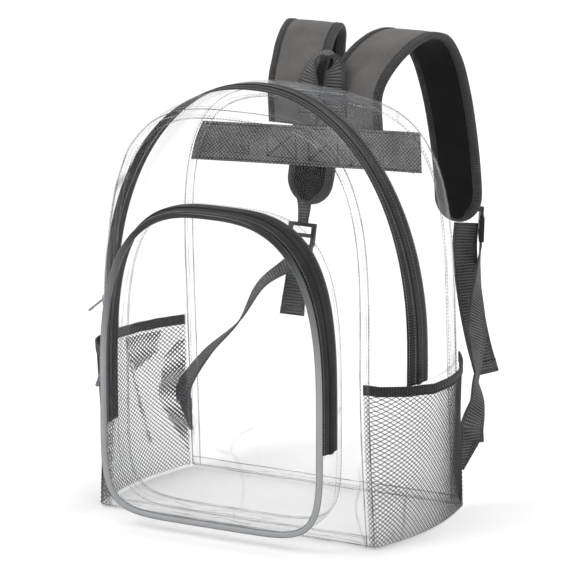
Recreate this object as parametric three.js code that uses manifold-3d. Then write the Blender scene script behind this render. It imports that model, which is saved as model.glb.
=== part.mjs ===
// Clear stadium backpack: a see-through film bag with a webbing harness.
// Millimetres, +Z up, front towards -Y, origin on the floor in the middle of the bag's body.
import * as THREE from "three";
import { mergeVertices } from "three/addons/utils/BufferGeometryUtils.js";
import Module from "manifold-3d";

const wasm = await Module();
wasm.setup();

// Bag body
const bagWidth = 320; // across the bottom seam
const bottomDepth = 166; // front seam to back seam at the floor
const frontLean = 19; // how far the front seam leans back over its height
const backLean = 7; // how far the back seam leans forward over its height
const sideBow = 12; // how far each side swells past its corners at the floor
const springHeight = 190; // where the straight sides turn into the arch
const frontHalfWidth = 152;
const frontHeight = 416;
const frontRoundness = 3.2; // exponent of the arch, 2 is an ellipse
const backHalfWidth = 159;
const backHeight = 411;
const backRoundness = 3.5;
const zipHalfWidth = 180; // the gusset swells most along the zip
const zipHeight = 433;
const zipRoundness = 2.05;
const zipPlace = 0.3; // share of the depth, from the front seam
const swellFall = 1.5; // how slowly the swelling dies towards the back seam
const frontBulge = 7; // the front film's belly
const backBulge = 4;
const film = 1.2; // wall of the clear film
const seamGap = 0.3;
const floorLift = 1.5; // walls start above the bottom panel
const sideTop = 156; // the lower side panels end here, and so does the zip
const seamTapeWidth = 11;
const lowTape = 8; // the seam tapes start this far above the floor
const tapeClearance = 0.75; // the seam tapes lie this far inside the film

// Main zip
const tapeWidth = 12;
const coilWidth = 6;
const coilThickness = 2.6;
const sliderRise = 0.0043; // share of the way round from the spring line to the slider
const sliderLength = 13;
const sliderWidth = 9;
const sliderDepth = 5;
const pullLength = 22;
const pullWidth = 7;
const pullThickness = 1.6;
const mainPullRest = 50; // degrees that each pull stands off its slider
const pocketPullRest = 20;

// Front pocket
const pocketHalfWidth = 125;
const pocketMiddle = 138; // height where the outline is widest
const pocketTop = 322;
const pocketFoot = 15;
const pocketRoundness = 2.8;
const pocketFootRoundness = 6;
const pocketSeamHalfWidth = 123;
const pocketSeamRoundness = 3.4;
const pocketSeamFoot = 22;
const pocketDepth = 46; // from the front seam's plane to the piping
const pocketLean = 15; // how far the piping leans back over the bag's height
const pocketBow = 4;
const pocketBulge = 4;
const pocketZipEnd = 100;
const pocketTapeWidth = 9;
const pocketSliderTurn = Math.PI - 0.02; // where the pocket slider stands round the outline
const pipingRadius = 3.3;

// Mesh side pockets
const meshHeight = 151;
const meshSlackLeft = 9; // how far each net stands off the side at its top
const meshSlackRight = 21;
const meshFoot = 2;
const meshThickness = 1;
const bindingHeight = 10;
const bindingThickness = 2;

// Harness
const harnessCentre = 9; // the straps stand a little to the right of the bag's middle
const bandDrop = 86; // from the top of the back seam down to the band's lower edge
const bandHeight = 41;
const bandTilt = 12; // how much higher the band's right end is
const bandEnd = 122; // where the right end is cut, from the bag's middle
const bandBottom = backHeight - bandDrop;
const webbing = 2; // thickness of handle and strap webbing
const webbingWidth = 25;
const strapWidth = 64;
const strapEndRadius = 27;
const strapSpread = 35.5; // strap centre from the harness centre at the seam
const strapThickness = 8;
const strapEdgeThickness = 5;
const rimWidth = 6;
const strapDrop = 39; // the straps are sewn on this far below the top of the back seam
const strapReach = 124; // how far the straps stand out behind the back film
const handleRise = 35;
const handleSpan = 32;
const handleDepth = 9; // half the ring's reach from front to back
const handleGap = 6; // from the band's higher end up to the handle's foot
const handleFoot = bandBottom + bandHeight + bandTilt + handleGap;
const lockWidth = 32;
const lockHeight = 26;
const lockThickness = 5;
const lockBar = 4;
const lockCorner = 3; // cut off each lower corner
const lockTiltLeft = 0.25; // how far each lock leans and turns as it hangs
const lockTiltRight = 0.05;
const lockTurnRight = -1.01;
const lockDropLeft = 34; // from the strap's end down to the lock's middle
const lockDropRight = 8;
const tailDropLeft = 84; // from the lock's middle down to the hem
const tailDropRight = 154;
const anchorHeight = 34;
const anchorTop = 72;

const archShare = 0.26; // share of the way round that each straight side takes
const archSteps = 36;
const crownCut = 0.012; // share of the way round left flat at the top of each panel

const materials = {
  film: new THREE.MeshStandardMaterial({
    color: 0xf1f3f4, roughness: 0.08, metalness: 0, transparent: true, opacity: 0.3,
  }),
  tape: new THREE.MeshStandardMaterial({ color: 0x4b4b4e, roughness: 0.85, metalness: 0 }),
  coil: new THREE.MeshStandardMaterial({ color: 0x1d1d20, roughness: 0.4, metalness: 0 }),
  piping: new THREE.MeshStandardMaterial({ color: 0x5a5e63, roughness: 0.35, metalness: 0 }),
  net: new THREE.MeshStandardMaterial({ color: 0x77787a, roughness: 0.8, metalness: 0 }),
  webbing: new THREE.MeshStandardMaterial({ color: 0x5b5b5e, roughness: 0.9, metalness: 0 }),
  fabric: new THREE.MeshStandardMaterial({ color: 0x4f4b4c, roughness: 0.9, metalness: 0 }),
  rim: new THREE.MeshStandardMaterial({ color: 0x6a6a6c, roughness: 0.85, metalness: 0 }),
  plastic: new THREE.MeshStandardMaterial({ color: 0x151517, roughness: 0.35, metalness: 0 }),
  metal: new THREE.MeshStandardMaterial({ color: 0x55565a, roughness: 0.3, metalness: 1 }),
};

const backpack = new THREE.Group();

const lerp = THREE.MathUtils.lerp;
const vec = (x, y, z) => new THREE.Vector3(x, y, z);

function addPiece(name, geometry, material) {
  const mesh = new THREE.Mesh(geometry, material);
  mesh.name = name;
  backpack.add(mesh);
  return mesh;
}

// A closed surface from triangles given by their corners, turned to face out.
function closedGeometry(corners) {
  const loose = new THREE.BufferGeometry();
  loose.setAttribute("position", new THREE.Float32BufferAttribute(corners.flatMap((p) => [p.x, p.y, p.z]), 3));
  const merged = mergeVertices(loose, 1e-3);
  const place = merged.attributes.position;
  const from = merged.index.array;
  const kept = [];
  let volume = 0;
  for (let i = 0; i < from.length; i += 3) {
    const [a, b, c] = [from[i], from[i + 1], from[i + 2]];
    if (a === b || b === c || c === a) continue;
    kept.push(a, b, c);
    const [p, q, r] = [a, b, c].map((k) => vec().fromBufferAttribute(place, k));
    volume += p.dot(q.cross(r));
  }
  if (volume < 0) kept.reverse();
  merged.setIndex(kept);
  merged.computeVertexNormals();
  return merged;
}

// A wall between two grids of points, rows of equal length; round joins the last row to the first.
function wallGeometry(outer, inner, round = false) {
  const corners = [];
  const quad = (a, b, c, d) => corners.push(a, b, c, a, c, d);
  const rows = outer.length;
  const last = outer[0].length - 1;
  for (let i = 0; i < (round ? rows : rows - 1); i++) {
    const j = (i + 1) % rows;
    for (let k = 0; k < last; k++) {
      quad(outer[i][k], outer[i][k + 1], outer[j][k + 1], outer[j][k]);
      quad(inner[i][k], inner[j][k], inner[j][k + 1], inner[i][k + 1]);
    }
    quad(outer[i][0], outer[j][0], inner[j][0], inner[i][0]);
    quad(outer[i][last], inner[i][last], inner[j][last], outer[j][last]);
  }
  if (!round) {
    for (let k = 0; k < last; k++) {
      quad(outer[0][k], inner[0][k], inner[0][k + 1], outer[0][k + 1]);
      quad(outer[rows - 1][k], outer[rows - 1][k + 1], inner[rows - 1][k + 1], inner[rows - 1][k]);
    }
  }
  return closedGeometry(corners);
}

// The unit normal of a surface place(u, v), by small steps.
function normalAt(place, u, v) {
  const step = 1e-3;
  const along = place(u + step, v).sub(place(u - step, v));
  const across = place(u, v + step).sub(place(u, v - step));
  return along.cross(across).normalize();
}

// Evenly spaced values over a range, both ends included.
const spread = ([low, high], steps) => Array.from({ length: steps + 1 }, (_, i) => lerp(low, high, i / steps));

// A wall of the given thickness on a patch of a surface, raised by lift along the normal.
function patchAt(place, us, vs, thickness, lift = 0, round = false) {
  const raised = (u, v, distance) => place(u, v).addScaledVector(normalAt(place, u, v), distance);
  const outer = us.map((u) => vs.map((v) => raised(u, v, lift + thickness / 2)));
  const inner = us.map((u) => vs.map((v) => raised(u, v, lift - thickness / 2)));
  return wallGeometry(outer, inner, round);
}

function patch(place, u, v, steps, thickness, lift = 0, round = false) {
  const us = spread(u, steps[0]);
  if (round) us.pop();
  return patchAt(place, us, spread(v, steps[1]), thickness, lift, round);
}

// Bag surface: around runs 0 to 1 from the left foot over the top to the right foot,
// through runs 0 to 1 from the front seam to the back seam.
const frontY = (z) => -bottomDepth / 2 + (frontLean * z) / frontHeight;
const backY = (z) => bottomDepth / 2 - (backLean * z) / backHeight;

// How far a value has risen from its two seams towards the zip's.
function swell(through, front, zip, back) {
  const level = lerp(front, back, through);
  const rise = zip - lerp(front, back, zipPlace);
  const share = THREE.MathUtils.clamp((through - zipPlace) / (1 - zipPlace), 0, 1);
  const crown = through < zipPlace
    ? Math.sin((Math.PI / 2) * (through / zipPlace))
    : Math.cos((Math.PI / 2) * share ** swellFall);
  return level + rise * crown;
}

function bagPoint(around, through) {
  const halfWidth = swell(through, frontHalfWidth, zipHalfWidth, backHalfWidth);
  const height = swell(through, frontHeight, zipHeight, backHeight);
  const roundness = swell(through, frontRoundness, zipRoundness, backRoundness);
  const side = Math.min(around, 1 - around);
  let x;
  let z;
  if (side < archShare) {
    z = (springHeight * side) / archShare;
    const foot = bagWidth / 2 + sideBow * Math.sin(Math.PI * through);
    x = lerp(foot, halfWidth, Math.sin((Math.PI / 2) * (z / springHeight)));
    if (around < 0.5) x = -x;
  } else {
    const angle = (Math.PI * (1 - archShare - around)) / (1 - 2 * archShare);
    const [c, s] = [Math.cos(angle), Math.sin(angle)];
    x = halfWidth * Math.sign(c) * Math.abs(c) ** (2 / roundness);
    z = springHeight + (height - springHeight) * Math.abs(s) ** (2 / roundness);
  }
  return vec(x, lerp(frontY(z), backY(z), through), z);
}

// The share of the way round at which a side reaches a height below the spring line.
const aroundAt = (height) => (archShare * height) / springHeight;
const depthAt = (z) => backY(z) - frontY(z);
const meanDepth = depthAt(springHeight);
const throughFor = (distance) => distance / meanDepth;

// The front and back films: flat between the seams, with a shallow belly.
function panelPoint(around, across, through, seamY, bulge) {
  const edge = bagPoint(around, through);
  const belly = bulge * (1 - across * across) * Math.sin((Math.PI * edge.z) / backHeight);
  return vec(Math.abs(edge.x) * across, seamY(edge.z) + belly, edge.z);
}

function panel(through, seamY, bulge) {
  const place = (around, across) => panelPoint(around, across, through, seamY, bulge);
  const side = Math.sign(through - 0.5);
  const rows = 16;
  const columns = 6;
  const outer = [];
  const inner = [];
  for (let i = 0; i <= rows; i++) {
    const around = lerp(aroundAt(floorLift), 0.5 - crownCut, i / rows);
    outer.push([]);
    inner.push([]);
    for (let k = 0; k <= columns; k++) {
      const at = place(around, lerp(-1, 1, k / columns));
      outer[i].push(at.clone().setY(at.y + (side * film) / 2));
      inner[i].push(at.clone().setY(at.y - (side * film) / 2));
    }
  }
  return wallGeometry(outer, inner);
}

function frontSurfaceY(x, z) {
  const share = THREE.MathUtils.clamp(Math.abs(x) / frontHalfWidth, 0, 1);
  return frontY(z) - frontBulge * (1 - share * share) * Math.sin((Math.PI * z) / backHeight);
}

addPiece("front_panel", panel(0, frontY, -frontBulge), materials.film);
addPiece("back_panel", panel(1, backY, backBulge), materials.film);

function bottomPanel() {
  const shape = new THREE.Shape();
  const steps = 10;
  const edge = (side, i) => [
    side * (bagWidth / 2 + sideBow * Math.sin((Math.PI * i) / steps)),
    lerp(-bottomDepth / 2, bottomDepth / 2, i / steps),
  ];
  shape.moveTo(...edge(1, 0));
  for (let i = 1; i <= steps; i++) shape.lineTo(...edge(1, i));
  for (let i = steps; i >= 0; i--) shape.lineTo(...edge(-1, i));
  shape.closePath();
  return new THREE.ExtrudeGeometry(shape, { depth: film, bevelEnabled: false, curveSegments: 1 });
}
addPiece("bottom_panel", bottomPanel(), materials.film);

const seamEnd = throughFor(film + seamGap);
const zipHalf = throughFor(tapeWidth + coilWidth / 2);
const coilHalf = throughFor(coilWidth / 2);
const gap = throughFor(seamGap);

// The clear sides and top
const sideAround = [aroundAt(floorLift), aroundAt(sideTop)];
const mirrored = ([low, high]) => [1 - low, 1 - high];
const overTop = [aroundAt(sideTop + seamGap), 1 - aroundAt(sideTop + seamGap)];
const throughDepth = [seamEnd, 1 - seamEnd];
for (const [name, around] of [["left", sideAround], ["right", mirrored(sideAround)]]) {
  addPiece(`side_panel_${name}`, patch(bagPoint, around, throughDepth, [4, 8], film), materials.film);
}
const frontStrip = [seamEnd, zipPlace - zipHalf - gap];
const backStrip = [zipPlace + zipHalf + gap, 1 - seamEnd];
addPiece("gusset_front", patch(bagPoint, overTop, frontStrip, [archSteps, 2], film), materials.film);
addPiece("gusset_back", patch(bagPoint, overTop, backStrip, [archSteps, 4], film), materials.film);

// Seam tapes inside the front and back seams, on the same steps as the gusset
const tapeLift = -(film + tapeClearance);
const inFromSeam = [seamEnd + gap, seamEnd + throughFor(seamTapeWidth)];
const inFromBack = [1 - inFromSeam[1], 1 - inFromSeam[0]];
const lowSteps = spread([aroundAt(lowTape), aroundAt(sideTop)], 4);
const tapeSteps = [...lowSteps, ...spread(overTop, archSteps), ...lowSteps.map((u) => 1 - u).reverse()];
for (const [name, through] of [["front", inFromSeam], ["back", inFromBack]]) {
  const strip = patchAt(bagPoint, tapeSteps, spread(through, 1), film, tapeLift);
  addPiece(`seam_tape_${name}`, strip, materials.film);
}

// Main zip
const zipSteps = [archSteps, 1];
const frontTape = [zipPlace - zipHalf, zipPlace - coilHalf - gap];
const backTape = [zipPlace + coilHalf + gap, zipPlace + zipHalf];
const coilStrip = [zipPlace - coilHalf, zipPlace + coilHalf];
addPiece("main_zip_tape_front", patch(bagPoint, overTop, frontTape, zipSteps, film), materials.tape);
addPiece("main_zip_tape_back", patch(bagPoint, overTop, backTape, zipSteps, film), materials.tape);
addPiece("main_zip_coil", patch(bagPoint, overTop, coilStrip, zipSteps, coilThickness), materials.coil);

// Front pocket surface: turn runs round the outline from the right, depth 0 to 1 from seam to piping.
function pocketOutline(turn, depth) {
  const [c, s] = [Math.cos(turn), Math.sin(turn)];
  const halfWidth = lerp(pocketSeamHalfWidth, pocketHalfWidth, depth);
  const foot = lerp(pocketSeamFoot, pocketFoot, depth);
  const upper = lerp(pocketSeamRoundness, pocketRoundness, depth);
  const roundness = s > 0 ? upper : pocketFootRoundness;
  const reach = s > 0 ? pocketTop - pocketMiddle : pocketMiddle - foot;
  const x = halfWidth * Math.sign(c) * Math.abs(c) ** (2 / roundness);
  const z = pocketMiddle + reach * Math.sign(s) * Math.abs(s) ** (2 / roundness);
  return [x, z];
}
const pocketFaceY = (z) => frontY(0) - pocketDepth + (pocketLean * z) / backHeight;

function pocketPoint(turn, depth) {
  const [x, z] = pocketOutline(turn, depth);
  const start = frontSurfaceY(x, z) - film - seamGap;
  const bow = 4 * pocketBow * depth * (1 - depth);
  const out = vec(x, 0, z - pocketMiddle).normalize();
  return vec(x, lerp(start, pocketFaceY(z), depth), z).addScaledVector(out, bow);
}

const pocketMeanDepth = pocketDepth - frontBulge / 2;
const depthFor = (distance) => distance / pocketMeanDepth;
const pipingEdge = 1 - depthFor(pipingRadius + seamGap);
const pocketZipWidth = 2 * pocketTapeWidth + coilWidth;
const zipStart = pipingEdge - depthFor(pocketZipWidth);
const zipDrop = (pocketMiddle - pocketZipEnd) / (pocketMiddle - pocketFoot);
const zipTurn = Math.asin(zipDrop ** (pocketFootRoundness / 2));
const endGap = 0.004; // turn left free between the zip's end and the lower strip
const zipArc = [-zipTurn, Math.PI + zipTurn];
const footArc = [Math.PI + zipTurn + endGap, 2 * Math.PI - zipTurn - endGap];
const pocketGap = depthFor(seamGap);
const fullTurn = [0, 2 * Math.PI];
const pocketSeam = 0.01; // where the gusset starts, clear of the front film
const gussetDepth = [pocketSeam, zipStart - pocketGap];
addPiece("pocket_gusset", patch(pocketPoint, fullTurn, gussetDepth, [56, 1], film, 0, true), materials.film);
addPiece("pocket_foot", patch(pocketPoint, footArc, [zipStart, pipingEdge], [24, 1], film), materials.film);
const tapeDepth = depthFor(pocketTapeWidth);
const pocketTapes = [
  ["pocket_zip_tape_back", [zipStart, zipStart + tapeDepth - pocketGap]],
  ["pocket_zip_tape_front", [pipingEdge - tapeDepth + pocketGap, pipingEdge]],
];
for (const [name, depth] of pocketTapes) {
  addPiece(name, patch(pocketPoint, zipArc, depth, [36, 1], film), materials.tape);
}
const pocketCoil = [zipStart + tapeDepth, pipingEdge - tapeDepth];
addPiece("pocket_zip_coil", patch(pocketPoint, zipArc, pocketCoil, [36, 1], coilThickness), materials.coil);

// Piping: a closed round cord along the pocket's front edge
function pipingGeometry() {
  const steps = 56;
  const sides = 6;
  const corners = [];
  const rings = [];
  for (let i = 0; i < steps; i++) {
    const turn = (2 * Math.PI * i) / steps;
    const centre = pocketPoint(turn, 1);
    const along = pocketPoint(turn + 1e-3, 1).sub(pocketPoint(turn - 1e-3, 1)).normalize();
    const out = along.clone().cross(vec(0, 1, 0)).normalize();
    const ahead = along.clone().cross(out);
    rings.push(Array.from({ length: sides }, (_, k) => {
      const angle = (2 * Math.PI * k) / sides;
      return centre.clone()
        .addScaledVector(out, pipingRadius * Math.cos(angle))
        .addScaledVector(ahead, pipingRadius * Math.sin(angle));
    }));
  }
  for (let i = 0; i < steps; i++) {
    const next = rings[(i + 1) % steps];
    for (let k = 0; k < sides; k++) {
      const m = (k + 1) % sides;
      corners.push(rings[i][k], rings[i][m], next[m], rings[i][k], next[m], next[k]);
    }
  }
  return closedGeometry(corners);
}
addPiece("pocket_piping", pipingGeometry(), materials.piping);

// The pocket's face film, inside the piping
function pocketFace() {
  const rows = 16;
  const columns = 6;
  const poleCut = 0.06; // turn left flat at the top and the foot
  const inset = pipingRadius + seamGap;
  const shrink = (pocketHalfWidth - inset) / pocketHalfWidth;
  const outer = [];
  const inner = [];
  for (let i = 0; i <= rows; i++) {
    const turn = lerp(poleCut - Math.PI / 2, Math.PI / 2 - poleCut, i / rows);
    const [halfWidth, height] = pocketOutline(turn, 1);
    const z = pocketMiddle + (height - pocketMiddle) * shrink;
    outer.push([]);
    inner.push([]);
    for (let k = 0; k <= columns; k++) {
      const across = lerp(-1, 1, k / columns);
      const rise = Math.max(0, Math.cos(turn)) * (1 - across * across);
      const y = pocketFaceY(z) - pocketBulge * rise;
      outer[i].push(vec(halfWidth * shrink * across, y - film / 2, z));
      inner[i].push(vec(halfWidth * shrink * across, y + film / 2, z));
    }
  }
  return wallGeometry(outer, inner);
}
addPiece("pocket_face", pocketFace(), materials.film);

// Mesh side pockets: the net stands off the side, most near the front of its top edge
function meshPoint(around, through) {
  const at = bagPoint(around, through);
  const slack = around < 0.5 ? meshSlackLeft : meshSlackRight;
  const share = THREE.MathUtils.clamp(at.z / meshHeight, 0, 1.1);
  const lead = Math.sin(Math.PI * THREE.MathUtils.clamp(through, 0, 1) ** 0.6);
  const out = slack * lead * share ** 0.8;
  at.x += Math.sign(at.x) * (out + film / 2 + seamGap + meshThickness / 2 + 0.4);
  return at;
}
const meshThrough = [throughFor(1), 1 - throughFor(1)];
const meshAround = [aroundAt(meshFoot), aroundAt(meshHeight)];
const bindingAround = [aroundAt(meshHeight + seamGap), aroundAt(meshHeight + seamGap + bindingHeight)];
const bindingLift = (bindingThickness - meshThickness) / 2;
for (const [name, flip] of [["left", (range) => range], ["right", mirrored]]) {
  const net = patch(meshPoint, flip(meshAround), meshThrough, [6, 10], meshThickness);
  addPiece(`mesh_pocket_${name}`, net, materials.net);
  const binding = patch(meshPoint, flip(bindingAround), meshThrough, [1, 10], bindingThickness, bindingLift);
  addPiece(`mesh_binding_${name}`, binding, materials.tape);
}

// A ribbon through stations: centre, width direction, width, thickness in the middle and at the edge.
function ribbonRows(stations, steps) {
  const curve = new THREE.CatmullRomCurve3(stations.map((s) => s.centre), false, "centripetal");
  const rows = [];
  for (let i = 0; i <= steps; i++) {
    const share = i / steps;
    const place = share * (stations.length - 1);
    const low = Math.min(Math.floor(place), stations.length - 2);
    const part = place - low;
    const [a, b] = [stations[low], stations[low + 1]];
    const along = curve.getTangent(share);
    const wide = a.wide.clone().lerp(b.wide, part);
    wide.addScaledVector(along, -wide.dot(along)).normalize();
    rows.push({
      centre: curve.getPoint(share),
      along,
      wide,
      face: wide.clone().cross(along).normalize(),
      width: lerp(a.width, b.width, part),
    });
  }
  return rows;
}

function ribbonGeometry(rows, thickness, edge, columns) {
  const outer = [];
  const inner = [];
  for (const row of rows) {
    outer.push([]);
    inner.push([]);
    for (let k = 0; k <= columns; k++) {
      const across = lerp(-1, 1, k / columns);
      const half = lerp(thickness, edge, across * across) / 2;
      const at = row.centre.clone().addScaledVector(row.wide, (across * row.width) / 2);
      outer[outer.length - 1].push(at.clone().addScaledVector(row.face, half));
      inner[inner.length - 1].push(at.clone().addScaledVector(row.face, -half));
    }
  }
  return wallGeometry(outer, inner);
}

const flatRibbon = (stations, steps) => ribbonGeometry(ribbonRows(stations, steps), webbing, webbing, 1);

// Webbing band across the outside of the back film
const bandOut = film / 2 + seamGap + webbing / 2; // centre of the first layer on the back film
function bandPoint(low, share) {
  const left = -0.985 * Math.abs(bagPoint(archAround(low, 1), 1).x); // just short of the seam
  const x = lerp(left, bandEnd, share);
  const height = low + bandTilt * share;
  const across = x / Math.abs(bagPoint(archAround(height, 1), 1).x);
  const belly = backBulge * (1 - across * across) * Math.sin((Math.PI * height) / backHeight);
  return vec(x, backY(height) + belly, height);
}
// The share of the way round at which the arch reaches a height above the spring line.
function archAround(height, through) {
  const top = swell(through, frontHeight, zipHeight, backHeight);
  const roundness = swell(through, frontRoundness, zipRoundness, backRoundness);
  const share = (height - springHeight) / (top - springHeight);
  const angle = Math.asin(share ** (roundness / 2));
  return archShare + ((1 - 2 * archShare) * angle) / Math.PI;
}
function backBand() {
  const outer = [];
  const inner = [];
  for (let i = 0; i <= 2; i++) {
    const height = bandBottom + (bandHeight * i) / 2;
    outer.push([]);
    inner.push([]);
    for (let k = 0; k <= 12; k++) {
      const at = bandPoint(height, k / 12);
      outer[i].push(at.clone().setY(at.y + bandOut + webbing / 2));
      inner[i].push(at.clone().setY(at.y + bandOut - webbing / 2));
    }
  }
  return wallGeometry(outer, inner);
}
addPiece("back_band", backBand(), materials.webbing);

// The bulge of the back film behind the harness, taken at its deepest
const harnessY = (height) => backY(height) + backBulge * Math.sin((Math.PI * height) / backHeight);

// Carry handle: a webbing ring that stands on the top seam and drifts to the right
function handleStations() {
  const left = harnessCentre - handleSpan / 2;
  const layer = (height) => harnessY(height) + bandOut;
  const at = (share, back, height, turn = 0) => ({
    centre: vec(left + handleSpan * share, layer(Math.min(height, backHeight)) + back, height),
    wide: vec(Math.cos(turn), -Math.sin(turn), 0),
    width: webbingWidth,
  });
  return [
    at(0, 0.1, handleFoot),
    at(0, 0.1, lerp(handleFoot, backHeight, 0.6)),
    at(0.03, 0.06 * handleDepth, backHeight + handleRise * 0.1),
    at(0.1, 0.2 * handleDepth, backHeight + handleRise * 0.5, 0.5),
    at(0.26, 0.6 * handleDepth, backHeight + handleRise * 0.9, 1.05),
    at(0.5, 1.2 * handleDepth, backHeight + handleRise, 1.35),
    at(0.76, 1.3 * handleDepth, backHeight + handleRise * 0.85, 1.05),
    at(0.95, 0.35 * handleDepth, backHeight + handleRise * 0.5, 0.1),
    at(0.98, 0.1 * handleDepth, backHeight + handleRise * 0.05),
    at(1, 0.2, lerp(handleFoot, backHeight, 0.7)),
    at(1, 0.2, lerp(handleFoot, backHeight, 0.35)),
    at(1, 0.1, handleFoot),
  ];
}
addPiece("carry_handle", flatRibbon(handleStations(), 28), materials.webbing);

// Shoulder straps. Each row: out from the harness centre as a share of the spread,
// back from the back film as a share of the strap's reach, height as a share of the bag's.
const strapLayer = bandOut + webbing / 2 + seamGap + strapThickness / 2;
const strapTable = [
  { out: 0.96, back: 0, up: 1 - strapDrop / backHeight },
  { out: 0.96, back: 0.01, up: 0.988 },
  { out: 1.0, back: 0.06, up: 1.022 },
  { out: 1.1, back: 0.17, up: 1.058 },
  { out: 1.25, back: 0.3, up: 1.088 },
  { out: 1.42, back: 0.46, up: 1.109 },
  { out: 1.6, back: 0.62, up: 1.113 },
  { out: 1.76, back: 0.75, up: 1.094 },
  { out: 1.93, back: 0.84, up: 1.045 },
  { out: 2.1, back: 0.89, up: 0.963 },
  { out: 2.25, back: 0.9, up: 0.866 },
  { out: 2.4, back: 0.88, up: 0.753 },
  { out: 2.54, back: 0.82, up: 0.637 },
];

function strapStations(side) {
  return strapTable.map(({ out, back, up }) => ({
    centre: vec(
      harnessCentre + side * strapSpread * out,
      harnessY(Math.min(up * backHeight, backHeight)) + strapLayer + strapReach * back,
      up * backHeight,
    ),
    wide: vec(1, 0, 0),
    width: lerp(strapWidth, 2 * strapEndRadius, THREE.MathUtils.smoothstep(out, 1.2, 2.56)),
  }));
}

// Half width of a strap whose end is a half circle, at a distance from its end.
function roundedHalf(half, radius, distance) {
  if (distance >= radius) return half;
  return Math.min(half, Math.sqrt(Math.max(radius * radius - (radius - distance) ** 2, 0)));
}

function strapRows(side) {
  const rows = ribbonRows(strapStations(side), 30);
  const end = rows[rows.length - 1];
  const body = rows.filter((row) => row.centre.distanceTo(end.centre) > strapEndRadius);
  return { body, end };
}

function strapPad(side) {
  const { body, end } = strapRows(side);
  const inset = rimWidth + seamGap;
  const rows = body.map((row) => ({ ...row, width: row.width - 2 * inset }));
  const radius = strapEndRadius - inset;
  const turns = 7;
  const hub = end.centre.clone().addScaledVector(end.along, -strapEndRadius);
  for (let i = 0; i <= turns; i++) {
    const angle = ((Math.PI / 2) * i) / turns;
    rows.push({
      ...end,
      centre: hub.clone().addScaledVector(end.along, radius * Math.sin(angle)),
      width: 2 * radius * Math.cos(angle),
    });
  }
  return ribbonGeometry(rows, strapThickness, strapEdgeThickness, 4);
}

// The binding round the strap's edge: up one side, round the end and back.
function strapRim(side) {
  const { body, end } = strapRows(side);
  const hub = end.centre.clone().addScaledVector(end.along, -strapEndRadius);
  const path = [];
  const edgePoint = (row, way) => ({
    at: row.centre.clone().addScaledVector(row.wide, (way * row.width) / 2),
    out: row.wide.clone().multiplyScalar(way),
    face: row.face,
  });
  body.forEach((row) => path.push(edgePoint(row, -1)));
  const turns = 12;
  for (let i = 0; i <= turns; i++) {
    const angle = Math.PI * (1 - i / turns);
    const out = end.wide.clone().multiplyScalar(Math.cos(angle)).addScaledVector(end.along, Math.sin(angle));
    path.push({ at: hub.clone().addScaledVector(out, strapEndRadius), out, face: end.face });
  }
  [...body].reverse().forEach((row) => path.push(edgePoint(row, 1)));
  const rail = (depth, half) => path.map(({ at, out, face }) =>
    at.clone().addScaledVector(out, -depth).addScaledVector(face, half));
  const half = strapEdgeThickness / 2 + 0.4;
  const rows = (sign) => {
    const [a, b] = [rail(0, sign * half), rail(rimWidth, sign * half)];
    return a.map((point, i) => [point, b[i]]);
  };
  return wallGeometry(rows(1), rows(-1));
}

// Ladder lock: a moulded frame with three bars
function lockGeometry() {
  const shape = new THREE.Shape();
  const [w, h] = [lockWidth / 2, lockHeight / 2];
  shape.moveTo(-w + lockCorner, -h);
  shape.lineTo(w - lockCorner, -h);
  shape.lineTo(w, -h + lockCorner);
  shape.lineTo(w, h);
  shape.lineTo(-w, h);
  shape.lineTo(-w, -h + lockCorner);
  const slot = (lockHeight - 3 * lockBar) / 2;
  for (const low of [-h + lockBar, -h + 2 * lockBar + slot]) {
    const hole = new THREE.Path();
    hole.moveTo(-w + lockBar, low);
    hole.lineTo(-w + lockBar, low + slot);
    hole.lineTo(w - lockBar, low + slot);
    hole.lineTo(w - lockBar, low);
    shape.holes.push(hole);
  }
  const made = new THREE.ExtrudeGeometry(shape, { depth: lockThickness, bevelEnabled: false });
  made.translate(0, 0, -lockThickness / 2);
  return made;
}

// Hanging webbing of each side, with strays as shares of the webbing's width. sewn: where the short
// webbing is sewn on in X. Rows of the tail: share of the way down to the hem, stray in X and in Y.
// Rows of the climb: share of the way up from the tab to the lock, stray in X, direction of the width.
const hangings = {
  left: {
    side: -1,
    lock: { x: -0.36, y: 0.08, drop: lockDropLeft, tilt: lockTiltLeft, turn: 0, sewn: -0.36 },
    hem: { x: -0.36, y: -0.32, drop: tailDropLeft },
    tail: [[0.3, -0.13, 0.16], [0.65, -0.14, 0.18]],
    tabReach: vec(-0.94, 0.34, 0),
    climb: [
      [0.25, -0.32, vec(0.8, -0.6, 0.1)], [0.5, -0.12, vec(0.52, -0.82, 0.24)],
      [0.78, -0.56, vec(0.8, -0.6, 0.1)],
    ],
  },
  right: {
    side: 1,
    lock: { x: 0.55, y: 0.8, drop: lockDropRight, tilt: lockTiltRight, turn: lockTurnRight, sewn: 0.3 },
    hem: { x: 0.02, y: 0.24, drop: tailDropRight },
    tail: [[0.18, -0.24, 0], [0.5, -0.32, 0], [0.77, -0.22, 0]],
    tabReach: vec(0.64, 0.77, 0),
    climb: [
      [0.13, 0.2, vec(0, 1, 0)], [0.28, 0.1, vec(-0.43, 0.9, 0)], [0.55, 0, vec(0.24, 0.97, 0)],
      [0.8, -0.04, vec(-0.3, 0.95, 0)],
    ],
  },
};

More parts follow.
